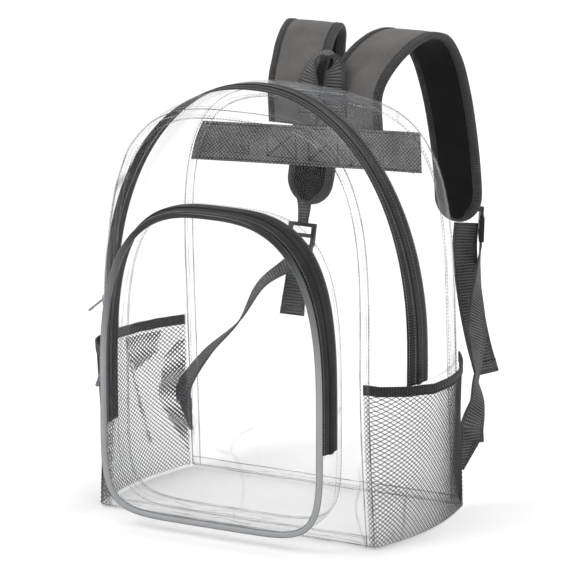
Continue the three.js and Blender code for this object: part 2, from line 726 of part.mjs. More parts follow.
for (const [name, { side, lock, hem, tail, tabReach, climb }] of Object.entries(hangings)) {
  addPiece(`strap_pad_${name}`, strapPad(side), materials.fabric);
  addPiece(`strap_rim_${name}`, strapRim(side), materials.rim);

  const { end } = strapRows(side);
  const centre = end.centre.clone().add(vec(lock.x * webbingWidth, lock.y * webbingWidth, -lock.drop));
  const hung = new THREE.Euler(-lock.tilt, 0, lock.turn, "ZYX");
  const [across, down, outward] = [vec(1, 0, 0), vec(0, 0, -1), vec(0, 1, 0)].map((way) => way.applyEuler(hung));
  const frame = addPiece(`ladder_lock_${name}`, lockGeometry(), materials.plastic);
  frame.rotation.set(Math.PI / 2 - lock.tilt, 0, lock.turn, "ZYX");
  frame.position.copy(centre);

  // Short webbing from the strap's outer face to the lock's top edge
  const padFace = end.centre.clone()
    .addScaledVector(end.along, -strapEndRadius * 0.8)
    .addScaledVector(end.face, (end.face.y > 0 ? 1 : -1) * (strapThickness / 2 + seamGap + webbing / 2))
    .setX(end.centre.x + lock.sewn * webbingWidth);
  const lockTop = centre.clone().addScaledVector(down, -lockHeight / 2 - seamGap);
  const aboveLock = lockTop.clone().addScaledVector(down, -lockBar);
  const halfway = padFace.clone().lerp(aboveLock, 0.6).add(vec(0, webbing, 0));
  const sewnEnd = padFace.clone().addScaledVector(end.along, 2 * lockBar).add(vec(0, webbing, 0));
  const flap = [[padFace, 0], [sewnEnd, 0], [halfway, 0.3], [aboveLock, 1], [lockTop, 1]]
    .map(([at, turned]) => ({ centre: at, wide: vec(1, 0, 0).lerp(across, turned), width: webbingWidth }));
  addPiece(`lock_flap_${name}`, flatRibbon(flap, 8), materials.webbing);

  // Free end of the strap webbing, behind a lock that hangs square, edge-on beside one that hangs turned
  const turned = lock.turn !== 0;
  const off = lockThickness / 2 + seamGap + (turned ? webbingWidth / 2 : webbing);
  const tailTop = centre.clone().addScaledVector(outward, turned ? -off : off);
  tailTop.addScaledVector(down, turned ? -lockBar : lockHeight / 2 - lockBar);
  const tailEnd = centre.clone().add(vec(hem.x * webbingWidth, hem.y * webbingWidth, -hem.drop));
  const tailWide = [turned ? outward : across, vec(0.9, 0.43, 0)];
  const tailStations = [[0, 0, 0], ...tail, [1, 0, 0]].map(([share, x, y]) => ({
    centre: tailTop.clone().lerp(tailEnd, share).add(vec(x * webbingWidth, y * webbingWidth, 0)),
    wide: tailWide[0].clone().lerp(tailWide[1], share),
    width: webbingWidth,
  }));
  addPiece(`strap_tail_${name}`, flatRibbon(tailStations, 10), materials.webbing);

  // Triangular tab in the back seam, and the webbing that climbs from it to the lock
  const seam = bagPoint(aroundAt(anchorTop), 1);
  const behind = film / 2 + seamGap + (webbing / 2) * Math.abs(tabReach.x);
  const inner = vec(side * Math.abs(seam.x), seam.y + behind, 0);
  const corner = (share, height) => inner.clone().addScaledVector(tabReach, share * webbingWidth).setZ(height);
  const thick = vec(-tabReach.y, tabReach.x, 0).multiplyScalar(webbing / 2);
  const plate = (sign) => [
    [corner(0, anchorTop), corner(1, anchorTop)],
    [corner(0, anchorTop - anchorHeight), corner(0.12, anchorTop - anchorHeight)],
  ].map((row) => row.map((point) => point.addScaledVector(thick, sign)));
  addPiece(`anchor_tab_${name}`, wallGeometry(plate(1), plate(-1)), materials.webbing);
  const low = corner(0.5, anchorTop + seamGap);
  const high = centre.clone().addScaledVector(down, lockHeight / 2 + seamGap);
  const aboveTab = low.clone().setZ(low.z + 2 * lockBar);
  const belowLock = high.clone().addScaledVector(down, 2 * lockBar);
  const tabWide = tabReach.clone().multiplyScalar(side);
  const topWide = across.clone().multiplyScalar(turned ? -1 : 1);
  const stations = [
    [low, tabWide], [aboveTab, tabWide],
    ...climb.map(([share, stray, wide]) => [
      aboveTab.clone().lerp(belowLock, share).add(vec(stray * webbingWidth, 0, 0)), wide,
    ]),
    [belowLock, topWide], [high, topWide],
  ].map(([at, wide]) => ({ centre: at, wide, width: webbingWidth }));
  addPiece(`lower_strap_${name}`, flatRibbon(stations, 20), materials.webbing);
}

// Zip sliders and their pulls. A slider's frame: z out of the bag, y up along the zip.
function sliderGeometry() {
  const shape = new THREE.Shape();
  const [w, h] = [sliderWidth / 2, sliderLength / 2];
  shape.moveTo(-w * 0.65, -h);
  shape.lineTo(w * 0.65, -h);
  shape.lineTo(w, h * 0.6);
  shape.lineTo(w * 0.7, h);
  shape.lineTo(-w * 0.7, h);
  shape.lineTo(-w, h * 0.6);
  return new THREE.ExtrudeGeometry(shape, { depth: sliderDepth, bevelEnabled: false });
}

function pullGeometry() {
  const shape = new THREE.Shape();
  const ring = pullWidth / 2;
  shape.moveTo(-ring * 0.6, 0);
  shape.lineTo(-ring, -pullLength + ring);
  shape.absarc(0, -pullLength + ring, ring, Math.PI, 2 * Math.PI, false);
  shape.lineTo(ring * 0.6, 0);
  const eye = new THREE.Path();
  eye.absarc(0, -pullLength + ring, ring * 0.55, 0, 2 * Math.PI, true);
  shape.holes.push(eye);
  return new THREE.ExtrudeGeometry(shape, { depth: pullThickness, bevelEnabled: false, curveSegments: 8 });
}

const sliderPlaces = [
  ["main", bagPoint, archShare + sliderRise, zipPlace, mainPullRest],
  ["pocket", pocketPoint, pocketSliderTurn, (pocketCoil[0] + pocketCoil[1]) / 2, pocketPullRest],
];
for (const [name, place, u, v, rest] of sliderPlaces) {
  const centre = place(u, v);
  const normal = normalAt(place, u, v);
  if (normal.x > 0) normal.negate();
  const up = vec(0, 0, 1).addScaledVector(normal, -normal.z).normalize();
  const turn = new THREE.Matrix4().makeBasis(up.clone().cross(normal), up, normal);
  const carrier = new THREE.Group();
  carrier.setRotationFromMatrix(turn);
  carrier.position.copy(centre).addScaledVector(normal, coilThickness / 2 + seamGap);
  backpack.add(carrier);
  const slider = new THREE.Mesh(sliderGeometry(), materials.metal);
  slider.name = `${name}_slider`;
  const pull = new THREE.Mesh(pullGeometry().translate(0, 0, -pullThickness / 2), materials.metal);
  pull.name = `${name}_pull`;
  pull.position.set(0, 1, sliderDepth + seamGap + pullThickness / 2);
  pull.rotation.x = -THREE.MathUtils.degToRad(rest);
  carrier.add(slider, pull);
}

export default backpack;
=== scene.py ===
# Clear backpack: the film bag, its zips, net pockets and webbing harness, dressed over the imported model.
import math
import bpy
import bmesh
from mathutils import Matrix, Vector, noise


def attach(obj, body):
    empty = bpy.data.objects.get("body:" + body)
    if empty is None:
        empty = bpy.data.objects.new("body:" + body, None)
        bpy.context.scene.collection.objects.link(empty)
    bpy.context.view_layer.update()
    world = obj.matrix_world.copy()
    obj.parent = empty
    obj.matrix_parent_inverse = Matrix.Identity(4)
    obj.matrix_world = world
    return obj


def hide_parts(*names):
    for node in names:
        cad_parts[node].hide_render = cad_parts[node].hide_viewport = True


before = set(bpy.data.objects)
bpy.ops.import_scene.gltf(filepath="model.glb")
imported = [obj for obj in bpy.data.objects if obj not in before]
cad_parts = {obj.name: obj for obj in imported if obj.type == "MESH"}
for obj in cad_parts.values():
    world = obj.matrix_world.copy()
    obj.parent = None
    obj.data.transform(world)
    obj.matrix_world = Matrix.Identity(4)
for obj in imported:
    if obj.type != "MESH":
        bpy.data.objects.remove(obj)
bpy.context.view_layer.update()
mm = 0.001

# Sizes of the bag in millimetres, the same as the solids
bag = {
    "width": 320, "depth": 166, "frontLean": 19, "backLean": 7, "sideBow": 12, "spring": 190,
    "frontHalf": 152, "frontHeight": 416, "frontRound": 3.2,
    "backHalf": 159, "backHeight": 411, "backRound": 3.5,
    "zipHalf": 180, "zipHeight": 433, "zipRound": 2.05, "zipPlace": 0.3, "swellFall": 1.5,
    "frontBulge": 7, "backBulge": 4, "film": 1.2, "gap": 0.3, "floorLift": 1.5, "sideTop": 156,
    "archShare": 0.26,
}
mainZip = {
    "tape": 12, "coil": 6, "pitch": 1.9, "toothLength": 1.15, "toothWidth": 3.0, "toothHeight": 2.0,
    "toothLift": 0.55, "bedLift": -0.2, "bedThick": 1.0, "stitchLift": 0.62,
}
pocket = {
    "half": 125, "middle": 138, "top": 322, "foot": 15, "round": 2.8, "footRound": 6,
    "seamHalf": 123, "seamRound": 3.4, "seamFoot": 22, "depth": 46, "lean": 15, "bow": 4, "bulge": 4,
    "zipEnd": 100, "tape": 9, "coil": 6, "piping": 3.3,
}
netPocket = {
    "height": 151, "slack": {"left": 9, "right": 21}, "foot": 2, "binding": 10, "bindingThick": 1.9,
    "diamond": 4.6, "strand": 0.41, "foldStrand": 1.3, "lift": 0.9, "seam": 8, "seamLift": 2.6,
}
harness = {
    "centre": 9, "bandBottom": 325, "bandHeight": 41, "bandTilt": 12, "bandEnd": 122, "webbing": 2,
    "webbingWidth": 25, "strapWidth": 64, "endRadius": 27, "spread": 35.5, "thick": 8, "edge": 5,
    "rim": 6, "foot": 372, "reach": 124, "handleRise": 35, "handleSpan": 32, "handleFoot": 384,
    "handleDepth": 9, "lockHeight": 26, "lockThick": 5, "lockBar": 4,
    "anchorHeight": 34, "anchorTop": 72,
}
# Steps of the grids along each piece, and the sizes of the stitches
steps = {
    "side": 26, "arch": 130, "frontGusset": 8, "backGusset": 20, "seam": 190, "foot": 60, "zip": 150,
    "pocketRing": 200, "pocketArc": 130, "pocketFoot": 70, "netBinding": 64, "band": 60, "strap": 110,
    "tail": 60, "lowerStrap": 120, "handle": 120, "flap": 36,
}
stitchSizes = {
    "film": {"Step": 3.6, "Length": 2.4, "Width": 0.7, "Height": 0.7},
    "tape": {"Step": 3.2, "Length": 2.3, "Width": 0.5, "Height": 0.5},
    "rim": {"Step": 3.4, "Length": 2.4, "Width": 0.6, "Height": 0.6},
    "webbing": {"Step": 2.8, "Length": 2.3, "Width": 1.1, "Height": 0.8},
}
backHeight = bag["backHeight"]
bagCentre = (0, 0, 190)


def lerp(a, b, t):
    return a + (b - a) * t


def clamp(t, low=0.0, high=1.0):
    return max(low, min(high, t))


# Places along the front seam where the film is pulled into a point: x, z, reach out, spread
pinches = {"y": -66, "yShare": 0.8, "out": (0.62, -0.25, 0.75), "places": [(-141, 374, 6, 9), (142, 374, 3.5, 8)]}


def pinch(point):
    for x, z, reach, wide in pinches["places"]:
        beside = (point.y - pinches["y"]) * pinches["yShare"]
        far = (point.x - x) ** 2 + (point.z - z) ** 2 + beside ** 2
        out = Vector(pinches["out"])
        out.x = math.copysign(out.x, x)
        point += out * (reach * math.exp(-far / (2 * wide * wide)))
    return point


def signedPower(value, power):
    return math.copysign(abs(value) ** power, value)


def spread(low, high, count):
    return [lerp(low, high, i / count) for i in range(count + 1)]


# Materials: shader maths as Python expressions

class Wire:
    def __init__(self, look, socket):
        self.look = look
        self.socket = socket

    def maths(self, operation, a, b=0.0):
        return self.look.node("ShaderNodeMath", {"operation": operation}, [a, b])

    def __add__(self, other):
        return self.maths("ADD", self, other)

    def __radd__(self, other):
        return self.maths("ADD", other, self)

    def __sub__(self, other):
        return self.maths("SUBTRACT", self, other)

    def __rsub__(self, other):
        return self.maths("SUBTRACT", other, self)

    def __mul__(self, other):
        return self.maths("MULTIPLY", self, other)

    def __rmul__(self, other):
        return self.maths("MULTIPLY", other, self)

    def __truediv__(self, other):
        return self.maths("DIVIDE", self, other)

    def __pow__(self, other):
        return self.maths("POWER", self, other)

    def wave(self, period):
        return self.maths("SINE", self * (2 * math.pi / period))

    def atMost(self, other):
        return self.maths("MINIMUM", self, other)

    def atLeast(self, other):
        return self.maths("MAXIMUM", self, other)

    def unit(self):
        return self.atLeast(0.0).atMost(1.0)

    def size(self):
        return self.maths("ABSOLUTE", self)


class Look:
    def __init__(self, name, slot):
        self.material = bpy.data.materials.new(name)
        self.material.use_nodes = True
        self.tree = self.material.node_tree
        self.tree.nodes.clear()
        self.slot = slot
        self.output = self.tree.nodes.new("ShaderNodeOutputMaterial")
        self.shader = self.tree.nodes.new("ShaderNodeBsdfPrincipled")
        self.tree.links.new(self.shader.outputs[0], self.output.inputs[0])

    def node(self, kind, settings=None, inputs=None, output=0):
        made = self.tree.nodes.new(kind)
        for key, value in (settings or {}).items():
            if key == "stops":
                ramp = made.color_ramp
                while len(ramp.elements) > 1:
                    ramp.elements.remove(ramp.elements[-1])
                for i, (place, colour) in enumerate(value):
                    stop = ramp.elements[0] if i == 0 else ramp.elements.new(place)
                    stop.position = place
                    stop.color = (*colour, 1)
            else:
                setattr(made, key, value)
        pairs = inputs.items() if isinstance(inputs, dict) else enumerate(inputs or [])
        for key, value in pairs:
            if isinstance(value, Wire):
                self.tree.links.new(value.socket, made.inputs[key])
            else:
                made.inputs[key].default_value = value
        return Wire(self, made.outputs[output])

    def feed(self, **values):
        for key, value in values.items():
            socket = self.shader.inputs[key.replace("_", " ")]
            if isinstance(value, Wire):
                self.tree.links.new(value.socket, socket)
            else:
                socket.default_value = value

    def place(self):
        return self.node("ShaderNodeTexCoord", output=3)

    def along(self):
        return self.axes(self.node("ShaderNodeUVMap", {"uv_map": "cloth"}))[:2]

    def axes(self, vector):
        split = self.node("ShaderNodeSeparateXYZ", None, [vector])
        return [Wire(self, split.socket.node.outputs[i]) for i in range(3)]

    def noise(self, scale, detail=3, rough=0.5, stretch=None):
        vector = self.place()
        if stretch:
            vector = self.node("ShaderNodeMapping", None, {"Vector": vector, "Scale": stretch})
        return self.node(
            "ShaderNodeTexNoise", None,
            {"Vector": vector, "Scale": scale, "Detail": detail, "Roughness": rough},
        )

    def mix(self, amount, a, b):
        a, b = (colour if isinstance(colour, Wire) else (*colour, 1) for colour in (a, b))
        return self.node("ShaderNodeMix", {"data_type": "RGBA"}, {0: amount, 6: a, 7: b}, output=2)

    def bump(self, height, distance, strength=1.0):
        self.feed(Normal=self.node(
            "ShaderNodeBump", None, {"Strength": strength, "Distance": distance, "Height": height},
        ))

    def attribute(self, name):
        return self.node("ShaderNodeAttribute", {"attribute_name": name}, output=2)


def grey(value, warm=0.0):
    return (value * (1 + warm), value, value * (1 - 0.4 * warm))


filmLook = {
    "clear": 0.014, "edge": 0.5, "crease": 0.28, "colour": (0.3, 0.31, 0.325), "most": 0.9,
    "warpScale": 9.0, "warpStretch": (1.0, 1.0, 0.36), "warpHeight": 0.0035,
    "bendScale": 7.0, "bend": (0.09, 0.09, 0.09), "cellStretch": (1.0, 1.0, 0.55), "cellScale": 8.5,
    "lineSharp": 55, "cloudScale": 9.0, "patchStart": 0.56, "patchRise": 5,
    "rims": (0.05, 0.94), "rimSharp": 16, "ridge": 0.45, "ridgeSway": 1.5, "ridgeSharp": 14, "breakScale": 42,
    "gleamScale": 31, "darkLine": (0.03, 0.032, 0.036), "paintedHighlight": (0.85, 0.86, 0.87),
}


# Thin vinyl: nearly nothing face on, grey at its edges and along a few sharp creases, with painted highlights in
# white along some of its lines
def makeFilm(name, clear, edge, crease, roughness=0.05, seam=0.0):
    look, values = Look(name, "clear_film"), filmLook
    facing = look.node("ShaderNodeLayerWeight", None, {"Blend": 0.35}, output=1)
    warp = look.noise(values["warpScale"], 2, 0.6, values["warpStretch"])
    drift = look.node("ShaderNodeTexNoise", None, {
        "Vector": look.place(), "Scale": values["bendScale"], "Detail": 2.0,
    }, output=1)
    stretched = look.node("ShaderNodeMapping", None, {"Vector": look.place(), "Scale": values["cellStretch"]})
    bent = look.node("ShaderNodeVectorMath", {"operation": "MULTIPLY_ADD"}, [drift, values["bend"], stretched])
    cells = look.node("ShaderNodeTexVoronoi", {"feature": "DISTANCE_TO_EDGE"}, {
        "Vector": bent, "Scale": values["cellScale"],
    })
    cloud = look.noise(values["cloudScale"], 2, 0.5)
    patch = ((cloud - values["patchStart"]) * values["patchRise"]).unit()
    lines = (1 - cells * values["lineSharp"]).atLeast(0.0) * patch
    if seam:
        place = look.along()[1] / seam
        low, high = ((1 - (place - rim).size() * values["rimSharp"]).atLeast(0.0) for rim in values["rims"])
        sway = (warp - 0.5) * values["ridgeSway"]
        ridge = (1 - (place - values["ridge"] + sway).size() * values["ridgeSharp"]).atLeast(0.0)
        broken = ((look.noise(values["breakScale"], 3, 0.6) - 0.4) * 5).unit()
        lines = lines * 0.5 + (low + high) * (broken * 0.6 + 0.4) + ridge * broken * 0.5
    alpha = (facing ** 3.0) * edge + clear + lines * crease
    # Part of the crease and seam lines are painted white as painted highlights, the rest grey
    gleam = ((look.noise(values["gleamScale"], 2) - 0.5) * 9).unit()
    stroke = look.mix(gleam, values["darkLine"], values["paintedHighlight"])
    look.feed(
        Base_Color=look.mix(lines.atMost(1.0), values["colour"], stroke),
        Roughness=roughness, IOR=1.5, Alpha=alpha.atMost(values["most"]),
    )
    look.bump(warp, values["warpHeight"], 0.5)
    return look


clearFilm = makeFilm("clearFilm", filmLook["clear"], filmLook["edge"], filmLook["crease"])
seamFilm = makeFilm("seamFilm", 0.035, 0.4, 0.7, 0.1, seam=0.0105)
gussetFilm = makeFilm("gussetFilm", 0.03, 0.4, 0.5, 0.08, seam=0.0165)
pocketFilm = makeFilm("pocketFilm", 0.012, 0.4, 0.16)
floorFilm = makeFilm("floorFilm", 0.008, 0.1, 0.2)


clothLook = {"fuzzScale": 700, "tapeWear": 30, "bandWear": 24, "padWear": 26, "padWeave": 0.0011}
clothFinish = {"Sheen_Weight": 0.1, "Sheen_Roughness": 0.5, "Specular_IOR_Level": 0.15}


# Woven tape: painted highlights on the thread tops over painted shade in the grooves of the ribs; u runs along the
# piece and v across it, both in metres
def makeWebbing(name, dark, bright, rib, weave, slot="webbing", rough=0.8, selvedge=0.0):
    look = Look(name, slot)
    along, across = look.along()
    threads = across.wave(weave) * 0.5 + 0.5
    ribs = (along + across.wave(weave) * (rib * 0.12)).wave(rib) * 0.5 + 0.5
    face = ribs ** 1.6 * (threads * 0.45 + 0.55)
    if selvedge:
        edge = ((across.size() - selvedge) * 2500).unit()
        side = (along.wave(rib * 0.5) * 0.5 + 0.5) * (across.wave(0.0019) * 0.5 + 0.5)
        face = face * (1 - edge) + side * edge * 0.8
    cloth = look.noise(clothLook["fuzzScale"], 2)
    wear = look.noise(clothLook["tapeWear"], 3)
    # The colour follows the weave's height: thread tops painted light and grooves painted shade, with fuzz and wear
    # as tone
    shade = face * 0.8 + (cloth - 0.5) * 0.5 + (wear - 0.5) * 0.7 + 0.06
    look.feed(
        Base_Color=look.mix(shade.unit(), grey(dark), grey(bright)), Roughness=rough, **clothFinish,
    )
    look.bump(face + cloth * 0.3, 0.0012, 0.8)
    return look


# Basket weave of the broad band, whose dots show as a grid of painted highlights with painted shade between them
def makeBasket(name, dark, bright, pitch):
    look = Look(name, "webbing")
    along, across = look.along()
    dots = (along.wave(pitch) * across.wave(pitch) * 0.5 + 0.5) ** 1.4
    cloth = look.noise(clothLook["fuzzScale"], 2)
    wear = look.noise(clothLook["bandWear"], 3)
    # The colour follows the dots' height: crossings painted light, the gaps between them painted shade
    shade = dots * 0.75 + (cloth - 0.5) * 0.6 + (wear - 0.5) * 0.8 + 0.12
    look.feed(
        Base_Color=look.mix(shade.unit(), grey(dark), grey(bright)), Roughness=0.85, **clothFinish,
    )
    look.bump(dots + cloth * 0.3, 0.0011, 0.8)
    return look


webbingLook = makeWebbing("webbingLook", 0.012, 0.19, 0.0031, 0.0024, selvedge=0.0085)
bandLook = makeBasket("bandLook", 0.02, 0.3, 0.0042)
tapeLook = makeWebbing("tapeLook", 0.008, 0.05, 0.0024, 0.0016, "zip_tape")
bindingLook = makeWebbing("bindingLook", 0.03, 0.085, 0.0022, 0.0014, "binding")
netBindingLook = makeWebbing("netBindingLook", 0.012, 0.06, 0.0026, 0.0017, "binding")


def makePadFabric():
    look = Look("padFabric", "strap_fabric")
    along, across = look.along()
    weave = along.wave(clothLook["padWeave"]) * across.wave(clothLook["padWeave"])
    cloth = look.noise(clothLook["fuzzScale"], 2)
    cloud = look.noise(clothLook["padWear"], 3)
    under = look.attribute("under")
    shade = (weave * 0.2 + 0.4 + cloth * 0.5 + (cloud - 0.5) * 0.9).unit()
    # The inner side, marked under, is the same cloth made many times darker: painted shade
    outer = look.mix(shade, grey(0.03, 0.05), grey(0.15, 0.05))
    inner = look.mix(shade, grey(0.002, 0.05), grey(0.009, 0.05))
    look.feed(
        Base_Color=look.mix(under, outer, inner), Roughness=0.85, Sheen_Weight=0.12, Sheen_Roughness=0.4,
        Specular_IOR_Level=0.12,
    )
    look.bump(weave * 0.35 + cloth * 0.4, 0.0006, 0.6)
    return look


solidLook = {"fineScale": 420, "broadScale": 60, "dark": 0.75, "roughVary": 0.16, "grainStrength": 0.35}


def makeSolid(name, slot, colour, rough, metallic=0.0, grain=0.0004, bright=1.6, shine=0.2):
    look = Look(name, slot)
    fine = look.noise(solidLook["fineScale"], 3)
    broad = look.noise(solidLook["broadScale"], 2)
    dark = tuple(c * solidLook["dark"] for c in colour)
    look.feed(
        Base_Color=look.mix(broad, dark, tuple(c * bright for c in colour)),
        Roughness=rough + (fine - 0.5) * solidLook["roughVary"], Metallic=metallic, Specular_IOR_Level=shine,
    )
    look.bump(fine, grain, solidLook["grainStrength"])
    return look


padFabric = makePadFabric()
# The coil's bed is painted near black as the shade between the teeth; the teeth are the same coil, a little lighter
coilShadeLook = makeSolid("coilShadeLook", "zip_coil", (0.006, 0.006, 0.007), 0.3)
toothLook = makeSolid("toothLook", "zip_coil", (0.028, 0.028, 0.031), 0.3)
plasticLook = makeSolid("plasticLook", "black_plastic", (0.006, 0.006, 0.0065), 0.34)
metalLook = makeSolid("metalLook", "dark_metal", (0.17, 0.17, 0.18), 0.27, 1.0, shine=0.5)
netLook = makeSolid("netLook", "net", (0.03, 0.03, 0.032), 0.6)
# The folded net is the same net painted darker: painted shade in its folds
shadedFoldNetLook = makeSolid("shadedFoldNetLook", "net", (0.02, 0.022, 0.026), 0.55)
threadLook = makeSolid("threadLook", "zip_tape", (0.008, 0.008, 0.009), 0.7)
paleThread = makeSolid("paleThread", "zip_tape", (0.26, 0.26, 0.27), 0.6)
filmThread = makeSolid("filmThread", "clear_film", (0.035, 0.035, 0.037), 0.7)


pipingValues = {
    "archHeight": 0.30, "middleSheen": 0.62, "paintedSheen": (0.3, 0.305, 0.315), "side": (0.035, 0.037, 0.04),
    "arch": (0.006, 0.0065, 0.008), "cloud": (0.05, 0.052, 0.055),
}


# Painted light: a silver sheen painted along its middle, painted shade at its sides, and painted shade turning it
# black over the arch
def makePiping():
    look = Look("pipingLook", "piping")
    height = look.axes(look.place())[2]
    # Painted shade: black above archHeight, where less light is reflected
    low = ((pipingValues["archHeight"] - height) * 7.5).unit()
    broad = look.noise(40, 2)
    # Painted sheen where the tube faces the view, painted shade towards its sides
    facing = look.node("ShaderNodeLayerWeight", None, {"Blend": 0.5}, output=1)
    middleSheen = ((pipingValues["middleSheen"] - facing) * 4).unit()
    paintedSheen = look.mix(middleSheen, pipingValues["side"], pipingValues["paintedSheen"])
    paintedLightTint = look.mix(low, pipingValues["arch"], paintedSheen)
    look.feed(
        Base_Color=look.mix(broad * 0.25, paintedLightTint, pipingValues["cloud"]), Roughness=0.2,
        Coat_Weight=0.25, Coat_Roughness=0.05, Specular_IOR_Level=0.25,
    )
    look.bump(broad, 0.0006, 0.3)
    return look


pipingLook = makePiping()
print("materials made")


# Mesh makers

def placeObject(name, mesh):
    made = bpy.data.objects.new(name, mesh)
    bpy.context.scene.collection.objects.link(made)
    return made


# Gives a piece its look, its body and the solids that it stands for
def dress(made, look, replaces=(), body="bag"):
    made.data.materials.clear()
    made.data.materials.append(look.material)
    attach(made, body)
    if replaces:
        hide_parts(*replaces)
    return made


def meshFrom(name, points, faces, uvs):
    mesh = bpy.data.meshes.new(name)
    mesh.from_pydata([tuple(c * mm for c in p) for p in points], [], faces)
    layer = mesh.uv_layers.new(name="cloth")
    for loop in mesh.loops:
        u, v = uvs[loop.vertex_index]
        layer.data[loop.index].uv = (u * mm, v * mm)
    mesh.polygons.foreach_set("use_smooth", [True] * len(mesh.polygons))
    mesh.update()
    return mesh


# Replaces the object's mesh by what its modifiers make, and takes them off
def bakeModifiers(made):
    depsgraph = bpy.context.evaluated_depsgraph_get()
    baked = bpy.data.meshes.new_from_object(made.evaluated_get(depsgraph), depsgraph=depsgraph)
    made.modifiers.clear()
    made.data = baked


# Turns an open sheet's faces away from a centre
def outward(mesh, centre):
    total = 0.0
    middle = Vector(centre) * mm
    for face in mesh.polygons:
        total += face.area * face.normal.dot(face.center - middle)
    if total < 0:
        mesh.flip_normals()


# Turns a closed mesh's faces outward
def turnOutward(mesh):
    shell = bmesh.new()
    shell.from_mesh(mesh)
    bmesh.ops.recalc_face_normals(shell, faces=shell.faces)
    shell.to_mesh(mesh)
    shell.free()
    mesh.shade_smooth()


# How far along a line each of its points lies
def runs(points):
    total = [0.0]
    for a, b in zip(points, points[1:]):
        total.append(total[-1] + (b - a).length)
    return total


def gridArea(rows):
    total = 0.0
    for a, b in zip(rows, rows[1:]):
        for k in range(len(a) - 1):
            total += (a[k + 1] - a[k]).cross(b[k] - a[k]).length / 2
            total += (b[k] - b[k + 1]).cross(a[k + 1] - b[k + 1]).length / 2
    return total * mm * mm


narrowest = 10.5  # a sheet narrower or shorter than this has no area worked out


# A sheet through a grid of points, given its thickness on both sides
def sheetPiece(name, rows, look, thick, replaces=(), centre=bagCentre):
    count = len(rows[0])
    faces = []
    for i in range(len(rows) - 1):
        for k in range(count - 1):
            a = i * count + k
            faces.append((a, a + 1, a + 1 + count, a + count))
    along, across = runs([row[count // 2] for row in rows]), runs(rows[len(rows) // 2])
    mesh = meshFrom(name, [p for row in rows for p in row], faces, [(u, v) for u in along for v in across])
    outward(mesh, centre)
    made = placeObject(name, mesh)
    wall = made.modifiers.new("wall", "SOLIDIFY")
    wall.thickness = thick * mm
    wall.offset = 0
    wall.use_even_offset = True
    bakeModifiers(made)
    dress(made, look, replaces)
    wide = max(runs(row)[-1] for row in rows)
    long = max(runs([row[k] for row in rows])[-1] for k in range(count))
    if min(wide, long) > narrowest:
        area = min(gridArea(rows), wide * long * mm * mm)
    return made


# The faces of a tube of sections with count points each, capped at both ends or closed in a ring
def tubeFaces(length, count, ring=False):
    faces = []
    for i in range(length if ring else length - 1):
        j = (i + 1) % length
        for k in range(count):
            m = (k + 1) % count
            faces.append((i * count + k, i * count + m, j * count + m, j * count + k))
    if not ring:
        faces.append(tuple(range(count))[::-1])
        faces.append(tuple((length - 1) * count + k for k in range(count)))
    return faces


# A closed section of (a, b) points swept along frames of (centre, axisA, axisB)
def sweepPiece(name, frames, section, look, replaces=(), ring=False):
    points, uvs = [], []
    for run, (centre, axisA, axisB) in zip(runs([spot[0] for spot in frames]), frames):
        for a, b in section:
            points.append(centre + axisA * a + axisB * b)
            uvs.append((run, a))
    mesh = meshFrom(name, points, tubeFaces(len(frames), len(section), ring), uvs)
    turnOutward(mesh)
    return dress(placeObject(name, mesh), look, replaces)


# The webbing's section: flat with rounded selvedges
def tapeSection(width, thick, columns=6):
    half, edge = width / 2, thick / 2
    top = [(lerp(-half + edge, half - edge, i / columns), edge) for i in range(columns + 1)]
    right = [(half - edge * 0.3, edge * 0.7), (half, 0), (half - edge * 0.3, -edge * 0.7)]
    bottom = [(a, -b) for a, b in reversed(top)]
    left = [(-a, -b) for a, b in right]
    return top + right + bottom + left


